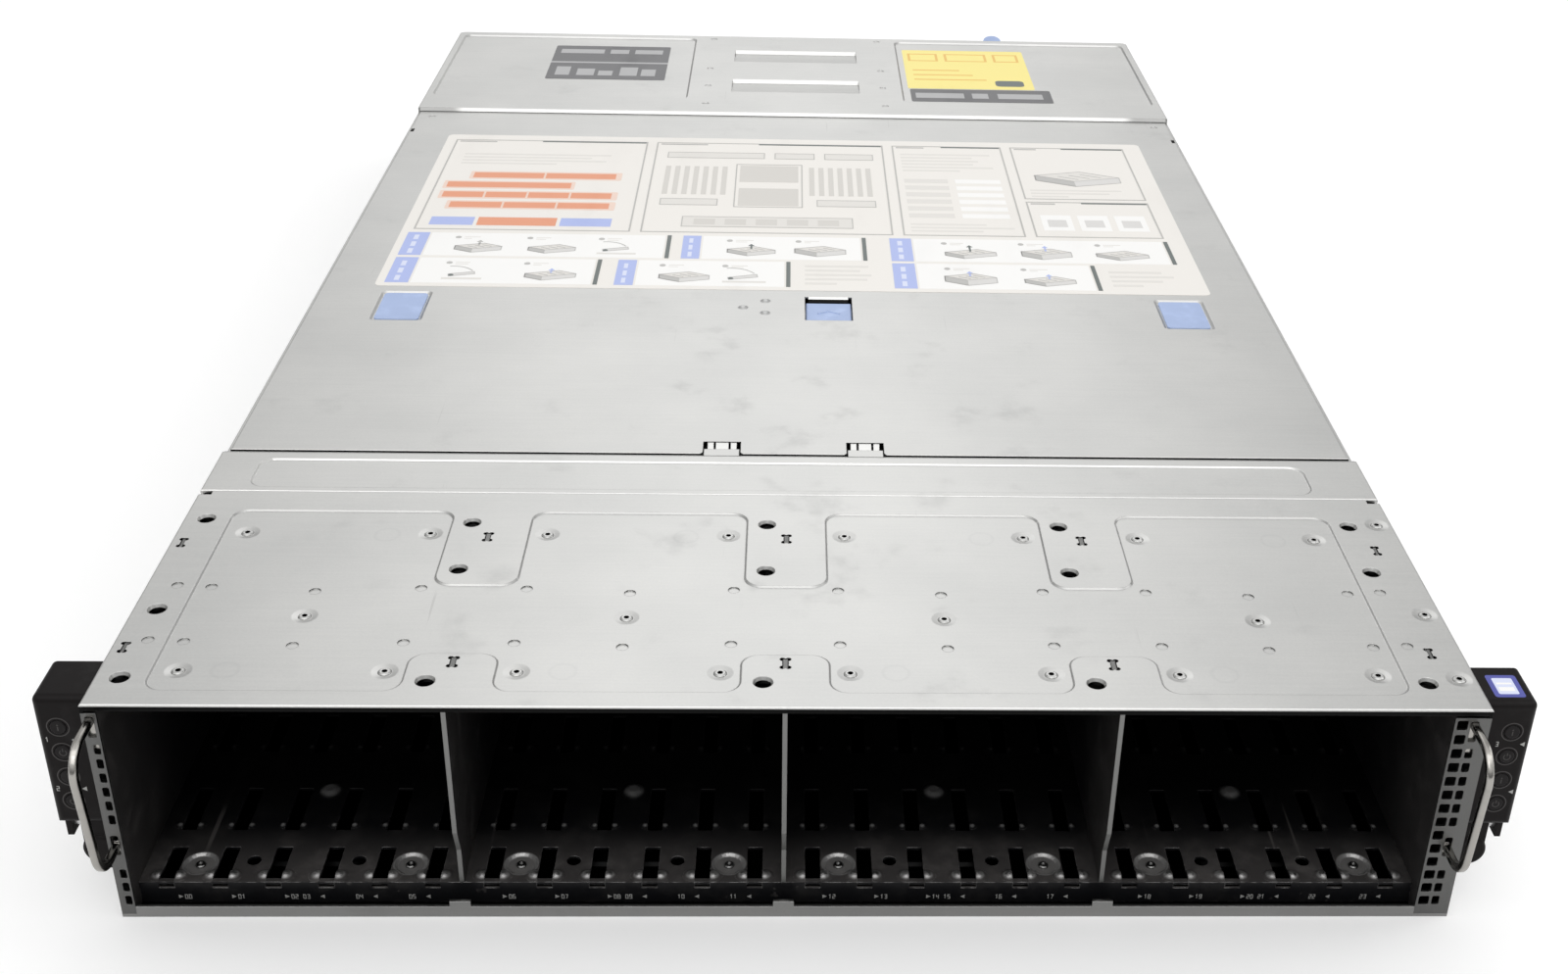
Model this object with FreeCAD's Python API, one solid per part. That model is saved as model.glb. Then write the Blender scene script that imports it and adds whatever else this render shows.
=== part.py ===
import FreeCAD
import Part

import math
import os

from FreeCAD import Vector

# A two-unit rack chassis with four empty drive bays in front, a sliding service cover,
# four node sleds and two power supplies at the rear, and a control ear on each side.
# Frame: origin on the underside, halfway across and halfway along the chassis.
# +X to the right seen from the front, +Y to the rear, +Z up. Millimetres.
# A station is a distance behind the front edge.

# Chassis box, sheets and gaps
CHASSIS_WIDTH = 448.0
CHASSIS_HEIGHT = 86.8
CHASSIS_DEPTH = 763.0
SHEET = 1.2
INNER_SHEET = 1.0
BOARD = 1.6
SEAT_GAP = 0.2
SLIDE_GAP = 0.4
SEAM = 0.5
PIN_GAP = 0.08
SHEET_ROUND = 0.7
THROUGH = 1.0
TOLERANCE = 0.01

# Top sheets
DECK_END = 136.3
STRIP_END = 171.5
REAR_PANEL_DEPTH = 162.0
COVER_STEP = 2.0
COVER_TRAVEL = 16.0
COVER_LAP = 8.0
COVER_SEAM = 1.8
NOSE_LENGTH = 1.8
NOSE_INSET = 1.2
CORNER_NOTCH_WIDTH = 5.0
CORNER_NOTCH_LENGTH = 2.8

# Drive cage
LEFT_STRIP_WIDTH = 4.8
RIGHT_STRIP_WIDTH = 11.8
BAY_COUNT = 4
DIVIDER = 1.6
DIVIDER_SETBACK = 2.4
DIVIDER_FOOT_SETBACK = 6.0
DIVIDER_FOOT_HEIGHT = 14.0
DIVIDER_FLARE_HEIGHT = 24.0
CAGE_FRONT = 6.0
CAGE_END = 128.0
CAGE_FLOOR_TOP = 9.8
LIP_NOTCH = 2.4
BASE_LIP = 4.4
LIP_TAB_HALF = 3.5
LIP_TAB_HEIGHT = 2.2
DRIVE_PITCH = 17.7
DRIVE_SLOT_WIDTH = 5.2
FRONT_SLOT_END = 24.0
DRIVE_SLOTS = ((33.0, 56.0), (77.5, 100.0))
DRIVE_BUMPS = (9.5, 35.5, 80.0)
BUMP_BESIDE_SLOT = 4.0
BUMP_RADIUS = 2.1
BUMP_HEIGHT = 1.1
CAGE_DOME_STATION = 15.5
CAGE_DOME_RADIUS = 5.6
CAGE_DOME_HEIGHT = 1.6
CAGE_DOME_BORE = 1.5
CAGE_HOLE_STATION = 17.0
CAGE_HOLE_RADIUS = 2.4
BAY_DOME_STATION = 54.5
BAY_DOME_RADIUS = 4.5
DOME_TAPER = 0.42
DRIVE_SOCKET_WIDTH = 4.8
DRIVE_SOCKET_DEPTH = 6.0
DRIVE_SOCKET_LOW = 22.0
DRIVE_SOCKET_HEIGHT = 34.0
RIB_HALF = 18.0
RIB_FRONT = 24.0
RIB_END = 120.0
RIB_DEPTH = 1.2
RIB_SLOPE = 1.0

# Pressing and holes of the front deck
PRESS_DEPTH = 0.6
PRESS_SLOPE = 0.6
PRESS_RADIUS = 6.0
PRESS_SIDE = 11.8
PRESS_FRONT = 8.1
PRESS_REAR = 122.7
TONGUE_HALF = 14.2
TONGUE_FRONT = 29.3
TONGUE_REAR = 72.0
SCREW_BORE = 2.7
SCREW_SINK = 3.3
SCREW_DIMPLE = 4.2
SCREW_BESIDE_DIVIDER = 7.2
SCREW_STATIONS = (13.8, 81.9, 114.2)
LEFT_SCREW_INSET = 8.2
LEFT_SCREW_STATIONS = (15.0, 55.0, 115.8)
RIGHT_SCREW_INSET = 17.0
RIGHT_SCREW_STATIONS = (14.7, 83.5, 116.0)
RIVET_RADIUS = 2.3
RIVET_SHANK = 1.3
RIVET_CROWN = 0.5
RIVET_TAPER = 0.7
RIVET_DIMPLE = 0.9
RIVET_SINK = 0.35
RIVET_DISH = 4.4
RIVET_BESIDE_DIVIDER = 21.2
RIVET_STATIONS = (19.8, 107.0)
RIVET_MIDDLE = 52.2
EDGE_RIVET_INSET = 6.0
EDGE_RIVET_STATIONS = (17.3, 55.8, 117.3)
SPOT_RADIUS = 2.0
SPOT_DEPTH = 0.4
SPOT_BESIDE_DIVIDER = 18.2
SPOT_ROWS = ((36.4, 34.4), (70.0, 67.6))
TAB_LENGTH = 5.2
TAB_ROOT = 2.5
TAB_RELIEF = 0.9
TAB_RELIEF_INSET = 0.5
DIVIDER_TABS = (24.5, 104.0)
WALL_TABS = (32.0, 98.5)

# Middle strip
STRIP_FIELD_FRONT = 3.0
STRIP_FIELD_REAR = 9.0
STRIP_DIP = 2.0
STRIP_DIP_LENGTH = 4.4
TONGUE_LENGTH = 5.4
LUG_HALF = 2.55
SIDE_LUG_HALF = 1.2
SIDE_LUG_OFFSET = 4.6
LUG_DIP = 2.2
LUG_FLAT = 2.9
LUG_TIP = 0.1
LUG_THICK = 1.0

# Front strips and pull handles
STRIP_HOLE_PITCH = 5.65
STRIP_HOLE_HEIGHT = 3.8
STRIP_HOLE_FIRST = 7.2
STRIP_HOLE_LAND = 0.8
STRIP_HOLE_CORNER = 0.7
LEFT_HOLE_INSET = 1.7
LEFT_HOLE_WIDTH = 2.2
RIGHT_HOLE_INSET = 2.6
RIGHT_HOLE_WIDTH = 3.6
OUTER_HOLE_WIDTH = 2.6
HANDLE_WIDTH = 2.5
HANDLE_BAR = 2.9
HANDLE_REACH = 21.0
HANDLE_LOW = 28.5
HANDLE_BELOW_TOP = 4.8
HANDLE_LEAN = 4.5
HANDLE_BEND = 11.0
HANDLE_EASE = 0.8
HANDLE_ARM = 8.0
HANDLE_PAD = 5.0
HANDLE_PAD_DEPTH = 2.0
HANDLE_SLOT = 8.0
HANDLE_SLOT_BELOW = 2.0
RIGHT_HANDLE_INSET = 5.2

# Control ears
EAR_WIDTH = 17.0
EAR_SETBACK = 5.0
EAR_DEPTH = 20.0
EAR_HEIGHT = 50.5
EAR_BELOW_TOP = 0.8
EAR_WALL = 1.6
EAR_ROUND = 2.4
FLANGE = 1.5
BUTTON_RADIUS = 2.6
BUTTON_COLLAR = 3.3
BUTTON_COLLAR_THICK = 1.0
BUTTON_GAP = 0.15
BUTTON_ROUND = 0.4
BUTTON_PITCH = 9.8
BUTTON_BELOW_EAR_TOP = 11.6
BUTTON_OUT = 1.5
BUTTON_TRAVEL = 1.0
BUTTON_PROUD = 0.3
BUTTON_NAMES = ("first_id", "first_power", "second_id", "second_power")
COLLAR_GAP = 0.05
SWITCH_GAP = 0.1
SWITCH_HALF = 2.2
SWITCH_DEPTH = 3.0

# Rack latches, placed from their pivot
LATCH_PIN_RADIUS = 1.5
LATCH_PIVOT_STATION = 12.0
LATCH_PIVOT_BELOW_EAR = 4.0
LATCH_LUG = 2.0
LATCH_LUG_INSET = 1.0
LATCH_LUG_HALF = 3.5
LATCH_INNER = 2.0
LATCH_OUTER = 11.5
LATCH_FRONT = 3.0
LATCH_REAR = 8.0
LATCH_ABOVE = 2.0
LATCH_BELOW = 7.5
KNOB_RADIUS = 6.0
KNOB_INSET = 5.1
KNOB_BELOW = 9.8
KNOB_HALF = 4.0
KNOB_ROUND = 1.5
FOOT_INNER = 1.0
FOOT_WIDTH = 4.5
FOOT_BELOW = 18.0
HOOK_OFFSET = 4.0
HOOK_WIDTH = 5.0
HOOK_REACH = 20.0
HOOK_BELOW = 6.5
HOOK_THICK = 4.0
HOOK_TIP = 3.0

# Sliding cover, its release slide and its grip pads
SLIDE_CENTRE = 15.3
SLIDE_FRONT = 303.4
SLIDE_WIDTH = 22.0
SLIDE_LENGTH = 21.5
SLIDE_TRAVEL = 3.0
SLIDE_THICK = 3.0
SLIDE_POCKET = 4.0
POCKET_RAMP = 2.0
POCKET_RAMP_INSET = 1.6
SLIDE_ROUND = 0.8
ARROW_HALF = 5.0
ARROW_RISE = 3.0
ARROW_AHEAD = 2.0
ARROW_STROKE = 1.2
ARROW_HEIGHT = 0.3
PAD_WIDTH = 20.5
PAD_LENGTH = 30.0
PAD_FRONT = 300.0
PAD_SIDE = 32.0
PAD_SINK = 0.9
PAD_THICK = 0.6
PAD_CORNER = 2.0
PAD_DISH = 1.6
PAD_SLOPE = 1.2
NOTCH_WIDTH = 15.0
NOTCH_DEPTH = 10.0
NOTCH_ROUND = 1.6
NOTCH_CENTRES = (-29.6, 27.8)
EDGE_NOTCH_STATION = 562.0
EDGE_NOTCH_LENGTH = 6.0
EDGE_NOTCH_WIDTH = 2.5
STAMPS = ((-24.5, 316.9), (-14.2, 324.7), (-14.2, 311.0))
STAMP_RADIUS = 2.4
STAMP_HEIGHT = 0.6
COVER_SPOT_INSET = 10.0
COVER_SPOT_AHEAD = 11.0

# Rear top sheet, measured from its own front edge
FIELD_BESIDE_WALL = 18.5
FIELD_SIDE = 4.0
FIELD_CLEAR = 1.0
FIELD_REAR = 6.0
FIELD_RADIUS = 4.0
FIELD_DEPTH = 1.0
FIELD_SLOPE = 1.0
REAR_CORNER = 4.0
RAMP_HALF = 39.5
RAMP_LENGTH = 24.0
RAMP_DEPTH = 2.1
RAMP_WALLS = (64.0, 128.0)
REAR_SPOT_BESIDE_WALL = 7.0
REAR_SPOT_STATIONS = (16.0, 52.0, 88.0, 155.0)

# Rail studs on the side walls
STUD_STATIONS = (70.0, 290.0, 510.0)
STUD_HEIGHT = 43.0
STUD_STEM = 2.2
STUD_HEAD = 3.8
STUD_STEM_LENGTH = 2.0
STUD_HEAD_LENGTH = 1.2

# Cooling fans
FAN_COUNT = 4
FAN_HEADROOM = 2.2
FAN_DEPTH = 56.0
FAN_FRONT = 180.0
FAN_RIM = 2.0
FAN_HUB = 17.0
FAN_TIP_GAP = 0.8
FAN_BLADES = 7
FAN_BLADE = 2.0
FAN_PITCH_ANGLE = 28.0
FAN_SHAFT = 2.0
FAN_STRUT = 3.0
FAN_STRUT_DEPTH = 6.0
FAN_CUP = 8.0
ROTOR_INSET = 6.0
ROTOR_CUP_GAP = 1.0
BLADE_INSET = 3.0

# Midplane
MIDPLANE_STATION = 250.0
MIDPLANE = 3.0
WINDOW_COUNT = 3
WINDOW_RIB = 10.0
WINDOW_LOW = 14.0
WINDOW_BELOW_TOP = 3.0
SOCKET_DEPTH = 9.0
SOCKET_SIDE = 27.0
SOCKET_LOW = 3.0
SOCKET_HEIGHT = 8.0
SUPPLY_SOCKET_HALF = 30.0
SUPPLY_SOCKET_LOW = 6.0
SUPPLY_SOCKET_HEIGHT = 10.0

# Sleds, measured from a sled's underside and sides
SUPPLY_BAY_HALF = 46.2
SLED_SIDE_GAP = 0.5
SLED_FRONT_GAP = 2.0
SLED_WALL = 24.0
POST_RADIUS = 3.0
POST_HEIGHT = 5.0
POST_INSET = 12.0
VENT_INSET = 8.0
VENT_LOW = 20.0
VENT_PITCH = 4.6
VENT_HOLE = 3.4
VENT_LEVER_LAND = 10.0
VENT_TOP_LAND = 1.4
CARD_INSIDE = 12.0
CARD_OUTSIDE = 6.0
CARD_BELOW_TOP = 17.8
CARD_HEIGHT = 13.0
CARD_LENGTH = 88.0
CARD_CLEAR = 1.0
CARD_RISER = 4.0
PORT_LOW = 4.0
PORTS = ((10.0, 16.0, 13.0), (30.0, 16.0, 13.0), (52.0, 13.0, 6.0), (70.0, 8.0, 5.5))
PORT_LENGTH = 22.0
BOARD_SIDE = 2.5
BOARD_FRONT = 1.0
BOARD_REAR = 3.0
COOLER_WIDTH = 90.0
COOLER_LENGTH = 76.0
COOLER_BASE = 6.0
COOLER_BELOW_TOP = 6.2
COOLER_FIN = 0.8
COOLER_FIN_PITCH = 4.9
COOLER_FIRST = 50.0
MEMORY_BESIDE_COOLER = 7.0
MEMORY_PITCH = 7.0
MEMORY_THICK = 3.2
MEMORY_LENGTH = 134.0
MEMORY_LEAD = 34.0
MEMORY_MOST = 4
MEMORY_BELOW_TOP = 7.2

# Sled levers
LEVER_LENGTH = 23.0
LEVER_WIDTH = 12.0
LEVER_THICK = 5.0
LEVER_OUT = 6.0
LEVER_BELOW_TOP = 11.0
LEVER_PIN = 1.2
LEVER_EAR = 1.6
LEVER_EAR_HALF = 3.0
LEVER_RAISED = 22.0
LEVER_FOLDED = -76.0

# Power supplies, measured from a supply's underside
SUPPLY_LENGTH = 250.0
SUPPLY_CASE = 1.2
SUPPLY_REAR_BLOCK = 14.0
INLET_LEFT = -40.0
INLET_WIDTH = 28.0
INLET_LOW = 9.0
INLET_HEIGHT = 21.0
INLET_DEPTH = 11.0
INLET_BLADE = 1.6
INLET_BLADE_HEIGHT = 6.0
INLET_BLADES = ((-33.0, 13.0), (-19.0, 13.0), (-26.0, 20.0))
INLET_BLADE_SHY = 3.0
GRILLE_LEFT = -5.0
GRILLE_LOW = 8.0
GRILLE_PITCH = 4.8
GRILLE_HOLE = 3.6
GRILLE_DEPTH = 8.0
GRILLE_LATCH_LAND = 7.0
GRIP_LEFT = -8.0
GRIP_RIGHT = 24.0
GRIP_BAR = 4.0
GRIP_REACH = 21.0
GRIP_BELOW_TOP = 9.3
TRIP_INSET = 5.0
TRIP_OUT = 4.0
TRIP_LOW = 7.0
TRIP_LUG_HALF = 2.5
TRIP_LUG = 2.5
TRIP_SPAN = 24.0
TRIP_BOSS = 2.4
TRIP_TAB = 4.0
TRIP_LENGTH = 13.0
TRIP_THUMB = 6.4
TRIP_THUMB_DEPTH = 3.0

# Worked out from the sizes above
FRONT = -CHASSIS_DEPTH / 2
REAR = CHASSIS_DEPTH / 2
HALF = CHASSIS_WIDTH / 2
TOP = CHASSIS_HEIGHT
SIDE_INNER = HALF - SHEET
PANEL_UNDER = TOP - SHEET
PRESS_FACE = TOP - PRESS_DEPTH
DECK_UNDER = PANEL_UNDER - max(PRESS_DEPTH, SHEET)
COVER_TOP = TOP - COVER_STEP
COVER_UNDER = COVER_TOP - SHEET
SIDE_TOP = COVER_UNDER - SEAT_GAP
COVER_HALF = SIDE_INNER - SEAT_GAP
COVER_FRONT = FRONT + STRIP_END + COVER_SEAM
REAR_PANEL_FRONT = REAR - REAR_PANEL_DEPTH
FIELD_FRONT = REAR_PANEL_FRONT + COVER_LAP + COVER_TRAVEL + FIELD_CLEAR
CAGE_LEFT = -HALF + LEFT_STRIP_WIDTH
CAGE_RIGHT = HALF - RIGHT_STRIP_WIDTH
BAY_WIDTH = (CAGE_RIGHT - CAGE_LEFT - (BAY_COUNT - 1) * DIVIDER) / BAY_COUNT
BAY_PITCH = BAY_WIDTH + DIVIDER
BAY_CENTRES = [CAGE_LEFT + BAY_WIDTH / 2 + i * BAY_PITCH for i in range(BAY_COUNT)]
DIVIDER_CENTRES = [CAGE_LEFT + i * BAY_PITCH - DIVIDER / 2 for i in range(1, BAY_COUNT)]
DRIVE_COUNT = int(BAY_WIDTH // DRIVE_PITCH)
HANDLE_TONGUE = LEFT_STRIP_WIDTH - SHEET - INNER_SHEET - 2 * SEAT_GAP
LEFT_HANDLE_INSET = SHEET + SEAT_GAP + HANDLE_TONGUE / 2
HANDLE_HIGH = TOP - HANDLE_BELOW_TOP
EAR_OUTER = HALF + EAR_WIDTH
EAR_HIGH = TOP - EAR_BELOW_TOP
EAR_LOW = EAR_HIGH - EAR_HEIGHT
EAR_FACE = FRONT + EAR_SETBACK
EAR_BACK = EAR_FACE + EAR_DEPTH
COLLAR_FRONT = EAR_FACE + EAR_WALL + COLLAR_GAP
LATCH_PIVOT_Y = FRONT + LATCH_PIVOT_STATION
LATCH_PIVOT_Z = EAR_LOW - LATCH_PIVOT_BELOW_EAR
LUG_OUTER = EAR_OUTER - LATCH_LUG_INSET
LUG_INNER = LUG_OUTER - LATCH_LUG
FAN_SIZE = SIDE_TOP - SHEET - FAN_HEADROOM
FAN_BORE = FAN_SIZE / 2 - FAN_RIM
FAN_Y = FRONT + FAN_FRONT
FAN_Z = SHEET + FAN_SIZE / 2
FAN_CENTRES = [(i - (FAN_COUNT - 1) / 2) * 2 * SIDE_INNER / FAN_COUNT for i in range(FAN_COUNT)]
SHELF_UNDER = (SHEET + SIDE_TOP - INNER_SHEET) / 2
SHELF_TOP = SHELF_UNDER + INNER_SHEET
SLED_HEIGHT = SHELF_UNDER - SHEET - 2 * SLIDE_GAP
LEVELS = {"lower": SHEET + SLIDE_GAP, "upper": SHELF_TOP + SLIDE_GAP}
SIDES = {"left": -1, "right": 1}
BAY_WALL = SUPPLY_BAY_HALF + SHEET
SLED_WIDTH = SIDE_INNER - BAY_WALL - 2 * SLED_SIDE_GAP
SLED_CENTRE = (SIDE_INNER + BAY_WALL) / 2
MIDPLANE_FRONT = FRONT + MIDPLANE_STATION
MIDPLANE_REAR = MIDPLANE_FRONT + MIDPLANE
SLED_FRONT = MIDPLANE_REAR + SOCKET_DEPTH + SLED_FRONT_GAP
CARD_FRONT = REAR - CARD_LENGTH
FIRST_COOLER = SLED_FRONT + COOLER_FIRST
COOLER_FRONTS = [FIRST_COOLER, (FIRST_COOLER + CARD_FRONT - CARD_CLEAR) / 2]
SUPPLY_HALF = SUPPLY_BAY_HALF - 2 * SLIDE_GAP
TRIP_X = SUPPLY_HALF - TRIP_INSET
TRIP_Y = REAR + TRIP_OUT


def at(station):
    return FRONT + station


def block(x0, x1, y0, y1, z0, z1):
    return Part.makeBox(x1 - x0, y1 - y0, z1 - z0, Vector(x0, y0, z0))


def rod(radius, start, end):
    run = Vector(*end) - Vector(*start)
    return Part.makeCylinder(radius, run.Length, Vector(*start), run)


def cone(low_radius, high_radius, x, y, z, height):
    return Part.makeCone(low_radius, high_radius, height, Vector(x, y, z), Vector(0, 0, 1))


def moved(shape, z):
    copy = shape.copy()
    copy.translate(Vector(0, 0, z))
    return copy


def on_side(shape, side):
    return shape if side > 0 else shape.mirror(Vector(0, 0, 0), Vector(1, 0, 0))


def union(shapes):
    return shapes[0].multiFuse(shapes[1:]).removeSplitter()


def without(shape, tools):
    return shape.cut(Part.makeCompound(tools))


def prism(points, run):
    return Part.Face(Part.makePolygon(points + points[:1])).extrude(run)


def same(a, b):
    return abs(a - b) < TOLERANCE


def rounded(shape, radius, chosen):
    return shape.makeFillet(radius, [edge for edge in shape.Edges if chosen(edge.BoundBox)])


def outline(points, radius):
    """A closed wire through the corner points, each corner rounded to the radius."""
    corners = []
    for i, point in enumerate(points):
        to_last = (points[i - 1] - point).normalize()
        to_next = (points[(i + 1) % len(points)] - point).normalize()
        half_turn = to_last.getAngle(to_next) / 2
        reach = radius / math.tan(half_turn)
        bisector = (to_last + to_next).normalize()
        middle = point + bisector * (radius / math.sin(half_turn) - radius)
        corners.append((point + to_last * reach, middle, point + to_next * reach))
    edges = []
    for i, (start, middle, end) in enumerate(corners):
        following = corners[(i + 1) % len(corners)][0]
        edges.append(Part.Arc(start, middle, end).toShape())
        edges.append(Part.LineSegment(end, following).toShape())
    return Part.Wire(edges)


def rectangle(x0, x1, y0, y1, z):
    return [Vector(x0, y0, z), Vector(x1, y0, z), Vector(x1, y1, z), Vector(x0, y1, z)]


def inset(points, distance):
    """The corners of a square-cornered outline, run anticlockwise, moved inwards."""
    result = []
    for i, point in enumerate(points):
        before = (point - points[i - 1]).normalize()
        after = (points[(i + 1) % len(points)] - point).normalize()
        result.append(point + Vector(-before.y - after.y, before.x + after.x, 0) * distance)
    return result


def pit(points, radius, depth, slope):
    """The hollow of a pressing: its outline at the sheet's face, smaller at the bottom."""
    floor = [point - Vector(0, 0, depth) for point in inset(points, slope)]
    return Part.makeLoft([outline(points, radius), outline(floor, radius)], True)


def press(sheet, hollow):
    """Pushes a hollow down into a sheet and keeps the sheet's thickness below it."""
    return sheet.fuse(moved(hollow, -SHEET)).cut(hollow)


def spot(x, y, face):
    return rod(SPOT_RADIUS, (x, y, face - SPOT_DEPTH), (x, y, face + THROUGH))


def screw_seat(x, y):
    """A sunk screw seat of the deck: the boss under the sheet, and the cone and bore through it."""
    low = PANEL_UNDER - SHEET
    boss = rod(SCREW_DIMPLE, (x, y, low), (x, y, PANEL_UNDER))
    sink = cone(SCREW_BORE, SCREW_SINK, x, y, PANEL_UNDER, SHEET)
    return boss, sink.fuse(rod(SCREW_BORE, (x, y, low), (x, y, TOP)))


def tab_slot(x, y, thickness):
    """A slot that lets a sheet tab through the deck, with a round relief at each corner."""
    half = thickness / 2 + SEAT_GAP
    reach = TAB_LENGTH / 2 + SEAT_GAP
    z0 = DECK_UNDER - THROUGH
    z1 = TOP + THROUGH
    parts = [block(x - half, x + half, y - reach, y + reach, z0, z1)]
    for corner_x in (x - half, x + half):
        for corner_y in (y - reach + TAB_RELIEF_INSET, y + reach - TAB_RELIEF_INSET):
            parts.append(rod(TAB_RELIEF, (corner_x, corner_y, z0), (corner_x, corner_y, z1)))
    return union(parts)


def with_tabs(wall, x, thickness, stations):
    """Adds the tabs on top of a cage wall that stand in the deck's slots."""
    half = TAB_LENGTH / 2
    tabs = [block(x - thickness / 2, x + thickness / 2, at(station) - half, at(station) + half,
                  PANEL_UNDER - TAB_ROOT, TOP - SEAT_GAP) for station in stations]
    return union([wall] + tabs)


# Chassis sheets

def floor_pan():
    """The floor with its front lip, a lip tab at each divider and a rib under each bay."""
    parts = [block(-HALF, HALF, FRONT, REAR, 0, SHEET),
             block(CAGE_LEFT, CAGE_RIGHT, FRONT, FRONT + SHEET, 0, BASE_LIP)]
    for x in DIVIDER_CENTRES:
        parts.append(block(x - LIP_TAB_HALF, x + LIP_TAB_HALF, FRONT, FRONT + SHEET,
                           BASE_LIP, BASE_LIP + LIP_TAB_HEIGHT))
    pan = union(parts)
    for x in BAY_CENTRES:
        points = rectangle(x - RIB_HALF, x + RIB_HALF, at(RIB_FRONT), at(RIB_END), 0)
        hollow = pit(points, PRESS_RADIUS, RIB_DEPTH, RIB_SLOPE)
        hollow = hollow.mirror(Vector(0, 0, 0), Vector(0, 0, 1))
        pan = pan.fuse(moved(hollow, SHEET)).cut(hollow)
    return pan


def side_wall(side):
    """A side sheet with rail studs, and the rack flange folded out behind the control ear."""
    parts = [block(SIDE_INNER, HALF, FRONT + SHEET, REAR, SHEET, SIDE_TOP),
             block(SIDE_INNER, EAR_OUTER, EAR_BACK, EAR_BACK + FLANGE, EAR_LOW, SIDE_TOP)]
    stem_end = HALF + STUD_STEM_LENGTH
    for station in STUD_STATIONS:
        y = at(station)
        parts.append(rod(STUD_STEM, (SIDE_INNER, y, STUD_HEIGHT), (stem_end, y, STUD_HEIGHT)))
        parts.append(rod(STUD_HEAD, (stem_end, y, STUD_HEIGHT),
                         (stem_end + STUD_HEAD_LENGTH, y, STUD_HEIGHT)))
    pin_hole = rod(LATCH_PIN_RADIUS + PIN_GAP, (SIDE_INNER - THROUGH, LATCH_PIVOT_Y, LATCH_PIVOT_Z),
                   (HALF + THROUGH, LATCH_PIVOT_Y, LATCH_PIVOT_Z))
    return on_side(union(parts).cut(pin_hole), side)


def top_panel(y0, y1):
    """A fixed top sheet whose sides fold down onto the side walls."""
    panel = union([
        block(-HALF, HALF, y0, y1, PANEL_UNDER, TOP),
        block(-HALF, -SIDE_INNER, y0, y1, SIDE_TOP, PANEL_UNDER),
        block(SIDE_INNER, HALF, y0, y1, SIDE_TOP, PANEL_UNDER),
    ])

    def front_or_side(box):
        on_top = box.ZLength < TOLERANCE and same(box.ZMax, TOP)
        return on_top and (same(box.YMax, y0) or same(box.XMax, -HALF) or same(box.XMin, HALF))

    return rounded(panel, SHEET_ROUND, front_or_side)


def press_outline():
    """The winding outline of the deck's pressing: it steps round a tongue at each divider."""
    left = CAGE_LEFT + PRESS_SIDE
    right = CAGE_RIGHT - PRESS_SIDE
    near = at(PRESS_FRONT)
    far = at(PRESS_REAR)
    near_tongue = ((-1, near), (-1, at(TONGUE_FRONT)), (1, at(TONGUE_FRONT)), (1, near))
    far_tongue = ((1, far), (1, at(TONGUE_REAR)), (-1, at(TONGUE_REAR)), (-1, far))
    points = [Vector(left, near, TOP)]
    for x in DIVIDER_CENTRES:
        points += [Vector(x + edge * TONGUE_HALF, y, TOP) for edge, y in near_tongue]
    points += [Vector(right, near, TOP), Vector(right, far, TOP)]
    for x in reversed(DIVIDER_CENTRES):
        points += [Vector(x + edge * TONGUE_HALF, y, TOP) for edge, y in far_tongue]
    points.append(Vector(left, far, TOP))
    return points


def screw_places():
    places = [(x - SCREW_BESIDE_DIVIDER, at(y)) for x in DIVIDER_CENTRES for y in SCREW_STATIONS]
    places += [(-HALF + LEFT_SCREW_INSET, at(y)) for y in LEFT_SCREW_STATIONS]
    places += [(HALF - RIGHT_SCREW_INSET, at(y)) for y in RIGHT_SCREW_STATIONS]
    return places


def rivet_places():
    """Each rivet's place on the deck, and the height of the face there."""
    reach = BAY_PITCH / 2 - RIVET_BESIDE_DIVIDER
    places = []
    for x in BAY_CENTRES:
        places += [(x + s * reach, at(y), PRESS_FACE) for s in (-1, 1) for y in RIVET_STATIONS]
        places.append((x, at(RIVET_MIDDLE), PRESS_FACE))
    places += [(HALF - EDGE_RIVET_INSET, at(y), TOP) for y in EDGE_RIVET_STATIONS]
    return places


def deck_spots():
    reach = BAY_PITCH / 2 - SPOT_BESIDE_DIVIDER
    spots = []
    for outer, middle in SPOT_ROWS:
        for x in BAY_CENTRES:
            row = ((x - reach, outer), (x, middle), (x + reach, outer))
            spots += [spot(place, at(y), PRESS_FACE) for place, y in row]
        for x in (CAGE_LEFT + PRESS_SIDE / 2, CAGE_RIGHT - PRESS_SIDE / 2):
            spots.append(spot(x, at(outer), TOP))
    return spots


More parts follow.
